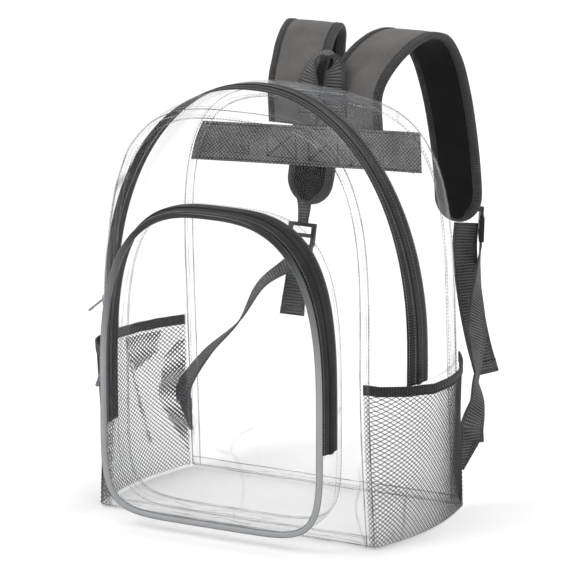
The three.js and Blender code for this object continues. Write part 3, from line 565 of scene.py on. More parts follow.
# The nodes that lay one small shape at even steps along every line of a mesh
def repeatTree(name, shape):
    tree = bpy.data.node_groups.new(name, "GeometryNodeTree")
    face = tree.interface
    face.new_socket("Geometry", in_out="INPUT", socket_type="NodeSocketGeometry")
    for label, kind, value in (
        ("Step", "NodeSocketFloat", 0.003), ("Length", "NodeSocketFloat", 0.002),
        ("Width", "NodeSocketFloat", 0.0006), ("Height", "NodeSocketFloat", 0.0006),
        ("Finish", "NodeSocketMaterial", None),
    ):
        socket = face.new_socket(label, in_out="INPUT", socket_type=kind)
        if value is not None:
            socket.default_value = value
    face.new_socket("Geometry", in_out="OUTPUT", socket_type="NodeSocketGeometry")

    def add(kind, settings=None, inputs=None):
        made = tree.nodes.new(kind)
        for key, value in (settings or {}).items():
            setattr(made, key, value)
        for key, value in (inputs or {}).items():
            if isinstance(value, bpy.types.NodeSocket):
                tree.links.new(value, made.inputs[key])
            else:
                made.inputs[key].default_value = value
        return made

    source = add("NodeGroupInput")
    curves = add("GeometryNodeMeshToCurve", None, {"Mesh": source.outputs["Geometry"]})
    if shape == "strand":
        profile = add("GeometryNodeCurvePrimitiveCircle", {"mode": "RADIUS"}, {
            "Resolution": 4, "Radius": source.outputs["Width"],
        })
        body = add("GeometryNodeCurveToMesh", None, {
            "Curve": curves.outputs[0], "Profile Curve": profile.outputs[0], "Fill Caps": True,
        }).outputs[0]
    else:
        up = add("GeometryNodeInputNamedAttribute", {"data_type": "FLOAT_VECTOR"}, {"Name": "up"})
        dots = add("GeometryNodeCurveToPoints", {"mode": "LENGTH"}, {
            "Curve": curves.outputs[0], "Length": source.outputs["Step"],
        })
        lay = add("FunctionNodeAlignRotationToVector", {"axis": "Z"}, {"Vector": dots.outputs["Tangent"]})
        roll = add("FunctionNodeAlignRotationToVector", {"axis": "X", "pivot_axis": "Z"}, {
            "Rotation": lay.outputs[0], "Vector": up.outputs[0],
        })
        if shape == "stitch":
            unit = add("GeometryNodeMeshUVSphere", None, {"Segments": 6, "Rings": 4, "Radius": 0.5}).outputs[0]
        else:
            unit = add("GeometryNodeMeshCube", None, {"Size": (1, 1, 1)}).outputs[0]
        scale = add("ShaderNodeCombineXYZ", None, {
            0: source.outputs["Height"], 1: source.outputs["Width"], 2: source.outputs["Length"],
        })
        sized = add("GeometryNodeTransform", None, {"Geometry": unit, "Scale": scale.outputs[0]})
        spots = add("GeometryNodeInstanceOnPoints", None, {
            "Points": dots.outputs[0], "Instance": sized.outputs[0], "Rotation": roll.outputs[0],
        })
        body = add("GeometryNodeRealizeInstances", None, {"Geometry": spots.outputs[0]}).outputs[0]
    real = add("GeometryNodeRealizeInstances", None, {"Geometry": body})
    finish = add("GeometryNodeSetMaterial", None, {
        "Geometry": real.outputs[0], "Material": source.outputs["Finish"],
    })
    out = add("NodeGroupOutput")
    tree.links.new(finish.outputs[0], out.inputs[0])
    return tree


trees = {shape: repeatTree(shape + "Along", shape) for shape in ("stitch", "tooth", "strand")}


# Lines are lists of (point, up) pairs in millimetres
def repeatPiece(name, shape, lines, sizes, look, replaces=(), edges=None):
    mesh = bpy.data.meshes.new(name)
    points, ups, pairs = [], [], list(edges or [])
    for line in lines:
        start = len(points)
        for point, up in line:
            points.append(point)
            ups.append(up)
        if edges is None:
            pairs += [(i, i + 1) for i in range(start, len(points) - 1)]
    mesh.from_pydata([tuple(c * mm for c in p) for p in points], pairs, [])
    attribute = mesh.attributes.new("up", "FLOAT_VECTOR", "POINT")
    attribute.data.foreach_set("vector", [c for up in ups for c in up])
    made = placeObject(name, mesh)
    step = made.modifiers.new("repeat", "NODES")
    step.node_group = trees[shape]
    values = {**{key: value * mm for key, value in sizes.items()}, "Finish": look.material}
    for item in trees[shape].interface.items_tree:
        if item.in_out == "INPUT" and item.name in values:
            step[item.identifier] = values[item.name]
    bakeModifiers(made)
    if shape == "tooth":
        made.data.shade_flat()
    else:
        made.data.shade_smooth()
    return dress(made, look, replaces)


# Bag surface: around runs from the left foot over the top to the right foot, through from front seam to back

def frontY(z):
    return -bag["depth"] / 2 + bag["frontLean"] * z / bag["frontHeight"]


def backY(z):
    return bag["depth"] / 2 - bag["backLean"] * z / backHeight


def swell(through, front, middle, back):
    place = bag["zipPlace"]
    level = lerp(front, back, through)
    rise = middle - lerp(front, back, place)
    if through < place:
        crown = math.sin(math.pi / 2 * through / place)
    else:
        crown = math.cos(math.pi / 2 * clamp((through - place) / (1 - place)) ** bag["swellFall"])
    return level + rise * crown


def bagPoint(around, through):
    half = swell(through, bag["frontHalf"], bag["zipHalf"], bag["backHalf"])
    height = swell(through, bag["frontHeight"], bag["zipHeight"], bag["backHeight"])
    power = swell(through, bag["frontRound"], bag["zipRound"], bag["backRound"])
    share, spring = bag["archShare"], bag["spring"]
    side = min(around, 1 - around)
    if side < share:
        z = spring * side / share
        foot = bag["width"] / 2 + bag["sideBow"] * math.sin(math.pi * through)
        x = lerp(foot, half, math.sin(math.pi / 2 * z / spring))
        if around < 0.5:
            x = -x
    else:
        angle = math.pi * (1 - share - around) / (1 - 2 * share)
        x = half * signedPower(math.cos(angle), 2 / power)
        z = spring + (height - spring) * abs(math.sin(angle)) ** (2 / power)
    return pinch(Vector((x, lerp(frontY(z), backY(z), through), z)))


def normalOf(place, u, v):
    step = 1e-3
    along = place(u + step, v) - place(u - step, v)
    across = place(u, v + step) - place(u, v - step)
    return along.cross(across).normalized()


def outNormal(place, u, v, centre):
    normal = normalOf(place, u, v)
    return normal if normal.dot(place(u, v) - Vector(centre)) > 0 else -normal


def aroundAt(height):
    return bag["archShare"] * height / bag["spring"]


meanDepth = backY(bag["spring"]) - frontY(bag["spring"])


def throughFor(distance):
    return distance / meanDepth


creases = {
    "depth": 1.5, "scale": 0.016, "shift": (3.1, 7.7, 1.3), "stretch": 0.55,
    "fine": 0.45, "fineScale": 0.05, "fineShift": (9.2, 1.7, 4.4), "fineStretch": 0.4,
}


# Soft creases of the film, none at its seams
def crease(point, fade, depth=1.0):
    broad = Vector((point.x, point.y, point.z * creases["stretch"])) * creases["scale"]
    fine = Vector((point.x, point.y, point.z * creases["fineStretch"])) * creases["fineScale"]
    broad = noise.noise(broad + Vector(creases["shift"]))
    fine = noise.noise(fine + Vector(creases["fineShift"]))
    return (creases["depth"] * broad + creases["fine"] * fine) * fade * depth


def filmRows(place, us, vs, centre=bagCentre, depth=1.0):
    rows = []
    for i, u in enumerate(us):
        row = []
        for k, v in enumerate(vs):
            point = place(u, v)
            edge = min(i, len(us) - 1 - i, k, len(vs) - 1 - k)
            fade = clamp(edge / 4)
            normal = outNormal(place, u, v, centre)
            row.append(point + normal * crease(point, fade, depth))
        rows.append(row)
    return rows


seamEnd = throughFor(bag["film"] + bag["gap"])
zipHalf = throughFor(mainZip["tape"] + mainZip["coil"] / 2)
coilHalf = throughFor(mainZip["coil"] / 2)
gap = throughFor(bag["gap"])
sideEnds = (aroundAt(bag["floorLift"]), aroundAt(bag["sideTop"]))
overTop = (aroundAt(bag["sideTop"] + bag["gap"]), 1 - aroundAt(bag["sideTop"] + bag["gap"]))
filmThick = 0.7


def panelRows(through, seamY, bulge, rowCount=64, columns=34):
    rows = []
    for i in range(rowCount + 1):
        share = i / rowCount
        around = lerp(sideEnds[0], 0.5 - 0.006, 1 - (1 - share) ** 1.25)
        edge = bagPoint(around, through)
        row = []
        for across in spread(-1, 1, columns):
            belly = bulge * (1 - across * across) * math.sin(math.pi * edge.z / backHeight)
            point = Vector((abs(edge.x) * across, seamY(edge.z) + belly, edge.z))
            fade = clamp(min(i / 5, (rowCount - i) / 5, (1 - abs(across)) * 7))
            point.y += crease(point, fade, 1.1)
            row.append(point)
        rows.append(row)
    return rows


sheetPiece("frontPanel", panelRows(0, frontY, -bag["frontBulge"]), clearFilm, filmThick, ["front_panel"])
sheetPiece("backPanel", panelRows(1, backY, bag["backBulge"]), clearFilm, filmThick, ["back_panel"])


def bottomRows(rowCount=24, columns=40):
    rows = []
    for i in range(rowCount + 1):
        through = i / rowCount
        y = lerp(-bag["depth"] / 2, bag["depth"] / 2, through)
        half = bag["width"] / 2 + bag["sideBow"] * math.sin(math.pi * through)
        row = []
        for across in spread(-1, 1, columns):
            point = Vector((half * across, y, bag["film"] / 2))
            fade = clamp(min(i, rowCount - i) / 4) * clamp((1 - abs(across)) * 8)
            point.z += 1.6 * abs(noise.noise(point * 0.018 + Vector((5, 2, 8)))) * fade
            row.append(point)
        rows.append(row)
    return rows


sheetPiece("bottomPanel", bottomRows(), floorFilm, filmThick, ["bottom_panel"])

for name, ends in (("left", sideEnds), ("right", [1 - end for end in sideEnds])):
    rows = filmRows(bagPoint, spread(*ends, steps["side"]), spread(seamEnd, 1 - seamEnd, steps["side"]))
    sheetPiece(name + "SidePanel", rows, clearFilm, filmThick, ["side_panel_" + name])

frontStrip = (seamEnd, bag["zipPlace"] - zipHalf - gap)
backStrip = (bag["zipPlace"] + zipHalf + gap, 1 - seamEnd)
for name, strip in (("front", frontStrip), ("back", backStrip)):
    rows = filmRows(bagPoint, spread(*overTop, steps["arch"]), spread(*strip, steps[name + "Gusset"]))
    sheetPiece(name + "Gusset", rows, clearFilm, filmThick, ["gusset_" + name])

# Doubled film inside the front and back seams, with its rows of stitches, lying along each panel
seamTape = {
    "width": 11, "clear": 1.3, "low": 3, "rows": (0.1, 0.86),
    "footWidth": 10, "footLift": 1.6, "footRows": (3.2, 10.4), "footInset": 3, "lean": 0.12,
}
tapeArounds = spread(aroundAt(seamTape["low"]), 1 - aroundAt(seamTape["low"]), steps["seam"])


# A point in from the seam, along the panel that it joins
def inFromSeam(around, through, inward, lift):
    seam = bagPoint(around, through)
    along = bagPoint(min(around + 2e-3, 1), through) - bagPoint(max(around - 2e-3, 0), through)
    out = Vector((along.z, 0, -along.x)).normalized()
    if out.dot(Vector((seam.x, 0, seam.z - bag["spring"] * 0.7))) > 0:
        out = -out
    point = seam + out * inward
    height = clamp(point.z, 0, backHeight)
    if abs(seam.x) > 60:
        belly = 1 - clamp(abs(point.x) / abs(seam.x)) ** 2
    else:
        belly = 1 - inward / 200
    belly *= math.sin(math.pi * height / backHeight)
    if through < 0.5:
        point.y = frontY(height) - bag["frontBulge"] * clamp(belly, 0, 0.2) + lift
    else:
        point.y = backY(height) + bag["backBulge"] * clamp(belly, 0, 0.2) - lift
    return point


filmStitches = []
footXs = spread(seamTape["footInset"] - bag["width"] / 2, bag["width"] / 2 - seamTape["footInset"], steps["foot"])
for name, through, sign in (("front", 0, 1), ("back", 1, -1)):
    rows = []
    for u in tapeArounds:
        ripple = 0.7 * crease(bagPoint(u, through), 1)
        rows.append([inFromSeam(u, through, d, seamTape["clear"] + ripple * (d / seamTape["width"]))
                     for d in spread(0.6, seamTape["width"], 4)])
    sheetPiece(name + "SeamTape", rows, seamFilm, filmThick, ["seam_tape_" + name])
    for place in seamTape["rows"]:
        filmStitches.append([(inFromSeam(u, through, seamTape["width"] * place, 0.1), Vector((0, -sign, 0)))
                             for u in tapeArounds])
    foot = []
    y = (frontY(0) if sign > 0 else backY(0)) + sign * seamTape["clear"]
    for x in footXs:
        ripple = 0.8 * noise.noise(Vector((x * 0.03, y, 4.0)))
        foot.append([Vector((x, y + sign * d * seamTape["lean"] + ripple * d / seamTape["width"],
                             seamTape["footLift"] + d + ripple)) for d in spread(0, seamTape["footWidth"], 4)])
    sheetPiece(name + "FootTape", foot, seamFilm, filmThick)
    for height in seamTape["footRows"]:
        filmStitches.append([(Vector((x, y - sign * 0.9, height)), Vector((0, -sign, 0))) for x in footXs])
print("film bag made")

# Main zip
zipArounds = spread(*overTop, steps["zip"])


def stripRows(place, us, vs, lift, centre=bagCentre):
    rows = []
    for u in us:
        rows.append([place(u, v) + outNormal(place, u, v, centre) * lift for v in vs])
    return rows


def liftedLine(place, us, v, lift, centre=bagCentre):
    line = []
    for u in us:
        normal = outNormal(place, u, v, centre)
        line.append((place(u, v) + normal * lift, normal))
    return line


zipPlace = bag["zipPlace"]
frontTape = (zipPlace - zipHalf, zipPlace - coilHalf - gap)
backTape = (zipPlace + coilHalf + gap, zipPlace + zipHalf)


# The coil between two tapes: a bed painted near black as the shade between the teeth, and two rows of teeth, each a
# share of the width off the middle
def coilPieces(name, solid, place, us, ends, share, centre=bagCentre):
    sheetPiece(name + "Bed", stripRows(place, us, spread(*ends, 3), mainZip["bedLift"], centre), coilShadeLook,
               mainZip["bedThick"], [solid], centre)
    lines = [liftedLine(place, us, lerp(*ends, 0.5 + side * share), mainZip["toothLift"], centre)
             for side in (-1, 1)]
    repeatPiece(name + "Coil", "tooth", lines, {
        "Step": mainZip["pitch"], "Length": mainZip["toothLength"], "Width": mainZip["toothWidth"],
        "Height": mainZip["toothHeight"],
    }, toothLook)


for name, ends in (("front", frontTape), ("back", backTape)):
    sheetPiece(name + "ZipTape", stripRows(bagPoint, zipArounds, spread(*ends, 6), 0.0), tapeLook,
               bag["film"], ["main_zip_tape_" + name])
coilPieces("zip", "main_zip_coil", bagPoint, zipArounds, (zipPlace - coilHalf, zipPlace + coilHalf), 0.21)
tapeStitches = [liftedLine(bagPoint, zipArounds, v, mainZip["stitchLift"]) for v in (
    lerp(*frontTape, 0.14), lerp(*frontTape, 0.78), lerp(*backTape, 0.22), lerp(*backTape, 0.86))]

# Front pocket

def frontSurfaceY(x, z):
    share = clamp(abs(x) / bag["frontHalf"])
    return frontY(z) - bag["frontBulge"] * (1 - share * share) * math.sin(math.pi * z / backHeight)


def pocketOutline(turn, depth):
    c, s = math.cos(turn), math.sin(turn)
    half = lerp(pocket["seamHalf"], pocket["half"], depth)
    foot = lerp(pocket["seamFoot"], pocket["foot"], depth)
    power = lerp(pocket["seamRound"], pocket["round"], depth) if s > 0 else pocket["footRound"]
    reach = pocket["top"] - pocket["middle"] if s > 0 else pocket["middle"] - foot
    return half * signedPower(c, 2 / power), pocket["middle"] + reach * signedPower(s, 2 / power)


def pocketFaceY(z):
    return frontY(0) - pocket["depth"] + pocket["lean"] * z / backHeight


def pocketPoint(turn, depth):
    x, z = pocketOutline(turn, depth)
    start = frontSurfaceY(x, z) - bag["film"] - bag["gap"]
    bow = 4 * pocket["bow"] * depth * (1 - depth)
    out = Vector((x, 0, z - pocket["middle"])).normalized()
    return Vector((x, lerp(start, pocketFaceY(z), depth), z)) + out * bow


pocketMean = pocket["depth"] - bag["frontBulge"] / 2
pocketCentre = (0, -100, 150)
pipingEdge = 1 - (pocket["piping"] + bag["gap"]) / pocketMean
zipStart = pipingEdge - (2 * pocket["tape"] + pocket["coil"]) / pocketMean
zipDrop = (pocket["middle"] - pocket["zipEnd"]) / (pocket["middle"] - pocket["foot"])
zipTurn = math.asin(zipDrop ** (pocket["footRound"] / 2))
endGap = 0.004
pocketGap = bag["gap"] / pocketMean
tapeDepth = pocket["tape"] / pocketMean


# Even steps round the outline, where equal turns would crowd the flat sides
def evenTurns(start, end, count, depth=1.0):
    fine = spread(start, end, 1500)
    total = runs([pocketPoint(turn, depth) for turn in fine])
    turns, k = [], 0
    for i in range(count + 1):
        goal = total[-1] * i / count
        while k < len(fine) - 2 and total[k + 1] < goal:
            k += 1
        part = (goal - total[k]) / max(total[k + 1] - total[k], 1e-9)
        turns.append(lerp(fine[k], fine[k + 1], clamp(part)))
    return turns


ringTurns = evenTurns(0.0, 2 * math.pi, steps["pocketRing"])
arcTurns = evenTurns(-zipTurn, math.pi + zipTurn, steps["pocketArc"])
footTurns = evenTurns(math.pi + zipTurn + endGap, 2 * math.pi - zipTurn - endGap, steps["pocketFoot"])
sheetPiece("pocketGusset", filmRows(pocketPoint, ringTurns, spread(0.02, zipStart - pocketGap, 5),
                                    pocketCentre, 0.5), gussetFilm, filmThick, ["pocket_gusset"],
           pocketCentre)
sheetPiece("pocketFoot", filmRows(pocketPoint, footTurns, spread(zipStart, pipingEdge, 6), pocketCentre, 0.5),
           pocketFilm, filmThick, ["pocket_foot"], pocketCentre)
for name, start, end in (("Back", zipStart, zipStart + tapeDepth - pocketGap),
                         ("Front", pipingEdge - tapeDepth + pocketGap, pipingEdge)):
    sheetPiece("pocketZipTape" + name, stripRows(pocketPoint, arcTurns, spread(start, end, 5), 0.0, pocketCentre),
               tapeLook, bag["film"], ["pocket_zip_tape_" + name.lower()], pocketCentre)
    line = lerp(start, end, 0.2 if name == "Back" else 0.8)
    tapeStitches.append(liftedLine(pocketPoint, arcTurns, line, mainZip["stitchLift"], pocketCentre))
coilDepth = (zipStart + tapeDepth, pipingEdge - tapeDepth)
coilPieces("pocketZip", "pocket_zip_coil", pocketPoint, arcTurns, coilDepth, 0.22, pocketCentre)

pipingFrames = []
for turn in ringTurns[:-1]:
    along = (pocketPoint(turn + 1e-3, 1) - pocketPoint(turn - 1e-3, 1)).normalized()
    out = along.cross(Vector((0, 1, 0))).normalized()
    pipingFrames.append((pocketPoint(turn, 1), out, along.cross(out)))
pipingSides = 14
pipingTurns = [2 * math.pi * k / pipingSides for k in range(pipingSides)]
pipingRing = [(pocket["piping"] * math.cos(turn), pocket["piping"] * math.sin(turn)) for turn in pipingTurns]
sweepPiece("pocketPiping", pipingFrames, pipingRing, pipingLook, ["pocket_piping"], ring=True)


def faceRows(rowCount=60, columns=34):
    inset = pocket["piping"] + bag["gap"]
    shrink = (pocket["half"] - inset) / pocket["half"]
    rows = []
    for i, turn in enumerate(evenTurns(0.05 - math.pi / 2, math.pi / 2 - 0.05, rowCount)):
        half, height = pocketOutline(turn, 1)
        z = pocket["middle"] + (height - pocket["middle"]) * shrink
        row = []
        for across in spread(-1, 1, columns):
            rise = max(0.0, math.cos(turn)) * (1 - across * across)
            point = Vector((half * shrink * across, pocketFaceY(z) - pocket["bulge"] * rise, z))
            fade = clamp(min(i / 4, (rowCount - i) / 4, (1 - abs(across)) * 8))
            point.y += crease(point, fade)
            row.append(point)
        rows.append(row)
    return rows


sheetPiece("pocketFace", faceRows(), pocketFilm, filmThick, ["pocket_face"])
filmStitches.append(liftedLine(pocketPoint, ringTurns, 0.06, 0.6, pocketCentre))
repeatPiece("filmStitches", "stitch", filmStitches, stitchSizes["film"], filmThread)
repeatPiece("tapeStitches", "stitch", tapeStitches, stitchSizes["tape"], paleThread)
print("zips and front pocket made")

# Net side pockets
darkStitches = []


def netPoint(around, through, extra=0.0):
    if through < 0 or through > 1:
        inward = (-through if through < 0 else through - 1) * meanDepth
        return inFromSeam(around, 0 if through < 0 else 1, inward, netPocket["seamLift"])
    at = bagPoint(around, through)
    slack = netPocket["slack"]["left" if around < 0.5 else "right"]
    share = clamp(at.z / netPocket["height"], 0, 1.1)
    lead = math.sin(math.pi * clamp(through) ** 0.6)
    off = bag["film"] / 2 + bag["gap"] + netPocket["lift"] + extra
    at.x += math.copysign(slack * lead * share ** 0.8 + off, at.x)
    return at


def within(outline, x, y):
    inside = False
    for (ax, ay), (bx, by) in zip(outline, outline[1:] + outline[:1]):
        if (ay > y) != (by > y) and x < (bx - ax) * (y - ay) / (by - ay) + ax:
            inside = not inside
    return inside


def netLattice(side, outline=None, extra=0.0, shift=0.0, skew=0.0):
    heights = netPocket["height"] - netPocket["foot"]
    low = throughFor(1) if outline else -throughFor(netPocket["seam"])
    high = 1 - throughFor(1)
    width = (high - low) * meanDepth
    rowCount = round(heights / netPocket["diamond"] * 2)
    columns = round(width / netPocket["diamond"])
    points, names, edges = [], {}, []
    for j in range(rowCount + 1):
        z = lerp(netPocket["foot"], netPocket["height"], j / rowCount)
        around = aroundAt(z) if side == "left" else 1 - aroundAt(z)
        offset = 0.0 if j % 2 else 0.5
        for i in range(-6, columns + 7):
            through = low + (i + offset + shift + skew * j) / columns * (high - low)
            outside = through > high + 1e-6 or through < low - 1e-6
            if outside or (outline and not within(outline, through, z)):
                continue
            wobble = 0.5 * noise.noise(Vector((i * 0.25, j * 0.13, 3.0 if side == "left" else 8.0)))
            names[(i, j)] = len(points)
            points.append((netPoint(around, through + throughFor(wobble), extra), Vector((1, 0, 0))))
    for (i, j), a in names.items():
        for step in ((0, -1) if j % 2 else (0, 1)):
            b = names.get((i + step, j + 1))
            if b is not None:
                edges.append((a, b))
    return points, edges


# Outlines of the folds in each net: share of the depth and height of each corner
netFolds = {
    "left": {
        "Pleat": [(0.84, 122), (0.77, 78), (0.93, 30), (1, 8), (1, 140)],
        "Fold": [(0.53, 146), (0.56, 146), (0.7, 36), (0.66, 36)],
        "Gather": [(0.53, 150), (0.84, 150), (0.8, 126), (0.6, 112)],
    },
    "right": {
        "Pleat": [(0.7, 94), (0.86, 88), (1, 80), (1, 14), (0.92, 10)],
        "Fold": [(0.64, 122), (0.7, 146), (1, 146), (1, 2), (0.93, 8)],
        "Gather": [(0.66, 112), (0.69, 112), (0.94, 12), (0.91, 12)],
    },
}
for side in ("left", "right"):
    points, edges = netLattice(side)
    repeatPiece(side + "Net", "strand", [points], {"Width": netPocket["strand"]}, netLook,
                replaces=["mesh_pocket_" + side], edges=edges)
    for k, (label, outline) in enumerate(netFolds[side].items()):
        points, edges = netLattice(side, outline, -0.7 - 0.3 * k, 0.33 + 0.25 * k, 0.05)
        repeatPiece(side + "Net" + label, "strand", [points],
                    {"Width": netPocket["strand"] * netPocket["foldStrand"]}, shadedFoldNetLook, edges=edges)
    low = netPocket["height"] + bag["gap"]
    high = low + netPocket["binding"]
    rows = []
    for through in spread(-throughFor(netPocket["seam"]), 1 - throughFor(1), steps["netBinding"]):
        row = []
        for z in spread(low, high, 6):
            around = aroundAt(z) if side == "left" else 1 - aroundAt(z)
            point = netPoint(around, through)
            pucker = 0.45 * math.sin(through * 95 + 1.4 * math.sin(through * 31))
            if through > 0:
                point.x += math.copysign(pucker * clamp((z - low) / 4 + 0.2), point.x)
            point.z += 0.5 * noise.noise(Vector((through * 14, 2.0, 5.0)))
            row.append(point)
        rows.append(row)
    sheetPiece(side + "NetBinding", rows, netBindingLook, netPocket["bindingThick"], ["mesh_binding_" + side])
    darkStitches.append([(row[1] + Vector((math.copysign(1.1, row[1].x), 0, 0)), Vector((1, 0, 0)))
                         for row in rows[6:]])
print("net pockets made")

# Harness

def curvePoint(points, t):
    count = len(points)
    place = (count - 1) * t
    low = min(int(math.floor(place)), count - 2)
    weight = place - low
    p1, p2 = points[low], points[low + 1]
    p0 = points[low - 1] if low > 0 else points[0] * 2 - points[1]
    p3 = points[low + 2] if low + 2 < count else points[-1] * 2 - points[-2]
    d0, d1, d2 = ((b - a).length ** 0.5 for a, b in ((p0, p1), (p1, p2), (p2, p3)))
    d1 = d1 or 1.0
    d0 = d0 or d1
    d2 = d2 or d1
    t1 = ((p1 - p0) / d0 - (p2 - p0) / (d0 + d1) + (p2 - p1) / d1) * d1
    t2 = ((p2 - p1) / d1 - (p3 - p1) / (d1 + d2) + (p3 - p2) / d2) * d1
    c2 = p1 * -3 + p2 * 3 - t1 * 2 - t2
    c3 = p1 * 2 - p2 * 2 + t1 + t2
    return p1 + t1 * weight + c2 * weight ** 2 + c3 * weight ** 3


# Stations are (centre, width direction, width)
def ribbonRows(stations, count):
    centres = [station[0] for station in stations]
    rows = []
    for share in spread(0, 1, count):
        place = share * (len(stations) - 1)
        low = min(int(place), len(stations) - 2)
        part = place - low
        a, b = stations[low], stations[low + 1]
        step = 1e-4
        ahead, behind = (curvePoint(centres, clamp(share + way)) for way in (step, -step))
        along = (ahead - behind).normalized()
        wide = a[1].lerp(b[1], part)
        wide = (wide - along * wide.dot(along)).normalized()
        rows.append({
            "centre": curvePoint(centres, share), "along": along, "wide": wide,
            "face": wide.cross(along).normalized(), "width": lerp(a[2], b[2], part),
        })
    return rows


def ribbonPiece(name, stations, count, solid, wave=0.0):
    frames = []
    for i, row in enumerate(ribbonRows(stations, count)):
        sway = row["face"] * (wave * math.sin(i * 0.21) * math.sin(math.pi * i / count))
        frames.append((row["centre"] + sway, row["wide"] * (row["width"] / stations[0][2]), row["face"]))
    made = sweepPiece(name, frames, tapeSection(stations[0][2], harness["webbing"] * 0.85), webbingLook, [solid])
    run = runs([spot[0] for spot in frames])[-1] * mm
    stations[0][2] * mm
    return made


filmHalf = bag["film"] / 2
bandOut = filmHalf + bag["gap"] + harness["webbing"] / 2


def archAround(height):
    share = (height - bag["spring"]) / (backHeight - bag["spring"])
    angle = math.asin(share ** (bag["backRound"] / 2))
    return bag["archShare"] + (1 - 2 * bag["archShare"]) * angle / math.pi


def bandPoint(low, share):
    left = -0.985 * abs(bagPoint(archAround(low), 1).x)
    x = lerp(left, harness["bandEnd"], share)
    height = low + harness["bandTilt"] * share
    across = x / abs(bagPoint(archAround(height), 1).x)
    belly = bag["backBulge"] * (1 - across * across) * math.sin(math.pi * height / backHeight)
    return Vector((x, backY(height) + belly + bandOut, height))


bandHeights = (harness["bandBottom"], harness["bandBottom"] + harness["bandHeight"])
bandRows = []
for share in spread(0, 1, steps["band"]):
    row = []
    for low in spread(*bandHeights, 10):
        point = bandPoint(low, share)
        point.y += 0.5 * noise.noise(point * 0.05)
        row.append(point)
    bandRows.append(row)
sheetPiece("backBand", bandRows, bandLook, harness["webbing"] * 0.8, ["back_band"], (0, 0, 345))


def harnessY(height):
    return backY(height) + bag["backBulge"] * math.sin(math.pi * height / backHeight)


def crossStitch(centre, half, height, out):
    x0, x1, z0, z1 = centre - half, centre + half, height[0], height[1]
    y = harnessY((z0 + z1) / 2) + out
    corners = [(x0, z0), (x1, z0), (x1, z1), (x0, z1), (x0, z0), (x1, z1)]
    box = [(Vector((x, y, z)), Vector((0, 1, 0))) for x, z in corners]
    slash = [(Vector((x, y, z)), Vector((0, 1, 0))) for x, z in ((x0, z1), (x1, z0))]
    return [box, slash]


bandStitches = {
    "lines": (0.06, 0.94), "into": 0.95, "boxes": (-96, -40, 9, 58, 96), "half": 17, "low": 12, "high": 40,
    "boxInto": 1.05,
}
for line in bandStitches["lines"]:
    into = Vector((0, -bandStitches["into"], 0))
    darkStitches.append([(bandPoint(lerp(*bandHeights, line), share) + into, Vector((0, 1, 0)))
                         for share in spread(0.01, 0.99, 50)])
for centre in bandStitches["boxes"]:
    heights = [harness["bandBottom"] + bandStitches[end] for end in ("low", "high")]
    darkStitches += crossStitch(centre, bandStitches["half"], heights, bandOut - bandStitches["boxInto"])

# Carry handle
handleLeft = harness["centre"] - harness["handleSpan"] / 2
handleFoot, rise, deep = harness["handleFoot"], harness["handleRise"], harness["handleDepth"]
handleRows = [  # share of the span, back from the film, height, turn of the width
    (0, 0.1, handleFoot, 0),
    (0, 0.1, lerp(handleFoot, backHeight, 0.6), 0),
    (0.03, 0.06 * deep, backHeight + 0.1 * rise, 0),
    (0.1, 0.2 * deep, backHeight + 0.5 * rise, 0.5),
    (0.26, 0.6 * deep, backHeight + 0.9 * rise, 1.05),
    (0.5, 1.2 * deep, backHeight + rise, 1.35),
    (0.76, 1.3 * deep, backHeight + 0.85 * rise, 1.05),
    (0.95, 0.35 * deep, backHeight + 0.5 * rise, 0.1),
    (0.98, 0.1 * deep, backHeight + 0.05 * rise, 0),
    (1, 0.2, lerp(handleFoot, backHeight, 0.7), 0),
    (1, 0.2, lerp(handleFoot, backHeight, 0.35), 0),
    (1, 0.1, handleFoot, 0),
]
handleStations = []
for share, back, height, turn in handleRows:
    y = harnessY(min(height, backHeight)) + bandOut + back
    place = Vector((handleLeft + harness["handleSpan"] * share, y, height))
    handleStations.append((place, Vector((math.cos(turn), -math.sin(turn), 0)), harness["webbingWidth"]))
ribbonPiece("carryHandle", handleStations, steps["handle"], "carry_handle")

# Shoulder straps
strapTable = [  # out, back, up
    (0.96, 0, harness["foot"] / backHeight), (0.96, 0.01, 0.988), (1.0, 0.06, 1.022), (1.1, 0.17, 1.058),
    (1.25, 0.3, 1.088), (1.42, 0.46, 1.109), (1.6, 0.62, 1.113), (1.76, 0.75, 1.094), (1.93, 0.84, 1.045),
    (2.1, 0.89, 0.963), (2.25, 0.9, 0.866), (2.4, 0.88, 0.753), (2.54, 0.82, 0.637),
]
strapLayer = bandOut + harness["webbing"] / 2 + bag["gap"] + harness["thick"] / 2


def strapStations(side):
    stations = []
    for out, back, up in strapTable:
        share = clamp((out - 1.2) / 1.36)
        ease = share * share * (3 - 2 * share)
        y = harnessY(min(up * backHeight, backHeight)) + strapLayer + harness["reach"] * back
        place = Vector((harness["centre"] + side * harness["spread"] * out, y, up * backHeight))
        stations.append((place, Vector((1, 0, 0)), lerp(harness["strapWidth"], 2 * harness["endRadius"], ease)))
    return stations


def strapBody(side):
    rows = ribbonRows(strapStations(side), steps["strap"])
    end = rows[-1]
    body = [row for row in rows if (row["centre"] - end["centre"]).length > harness["endRadius"]]
    return body, end


padShape = {
    "inset": 0.55, "endSteps": 14, "columns": 18, "roundness": 3.2, "edgeShare": 0.36, "swell": 0.35,
    "swellScale": 0.04, "foldStart": 25, "foldRise": 20, "foldDeep": 0.8,
}


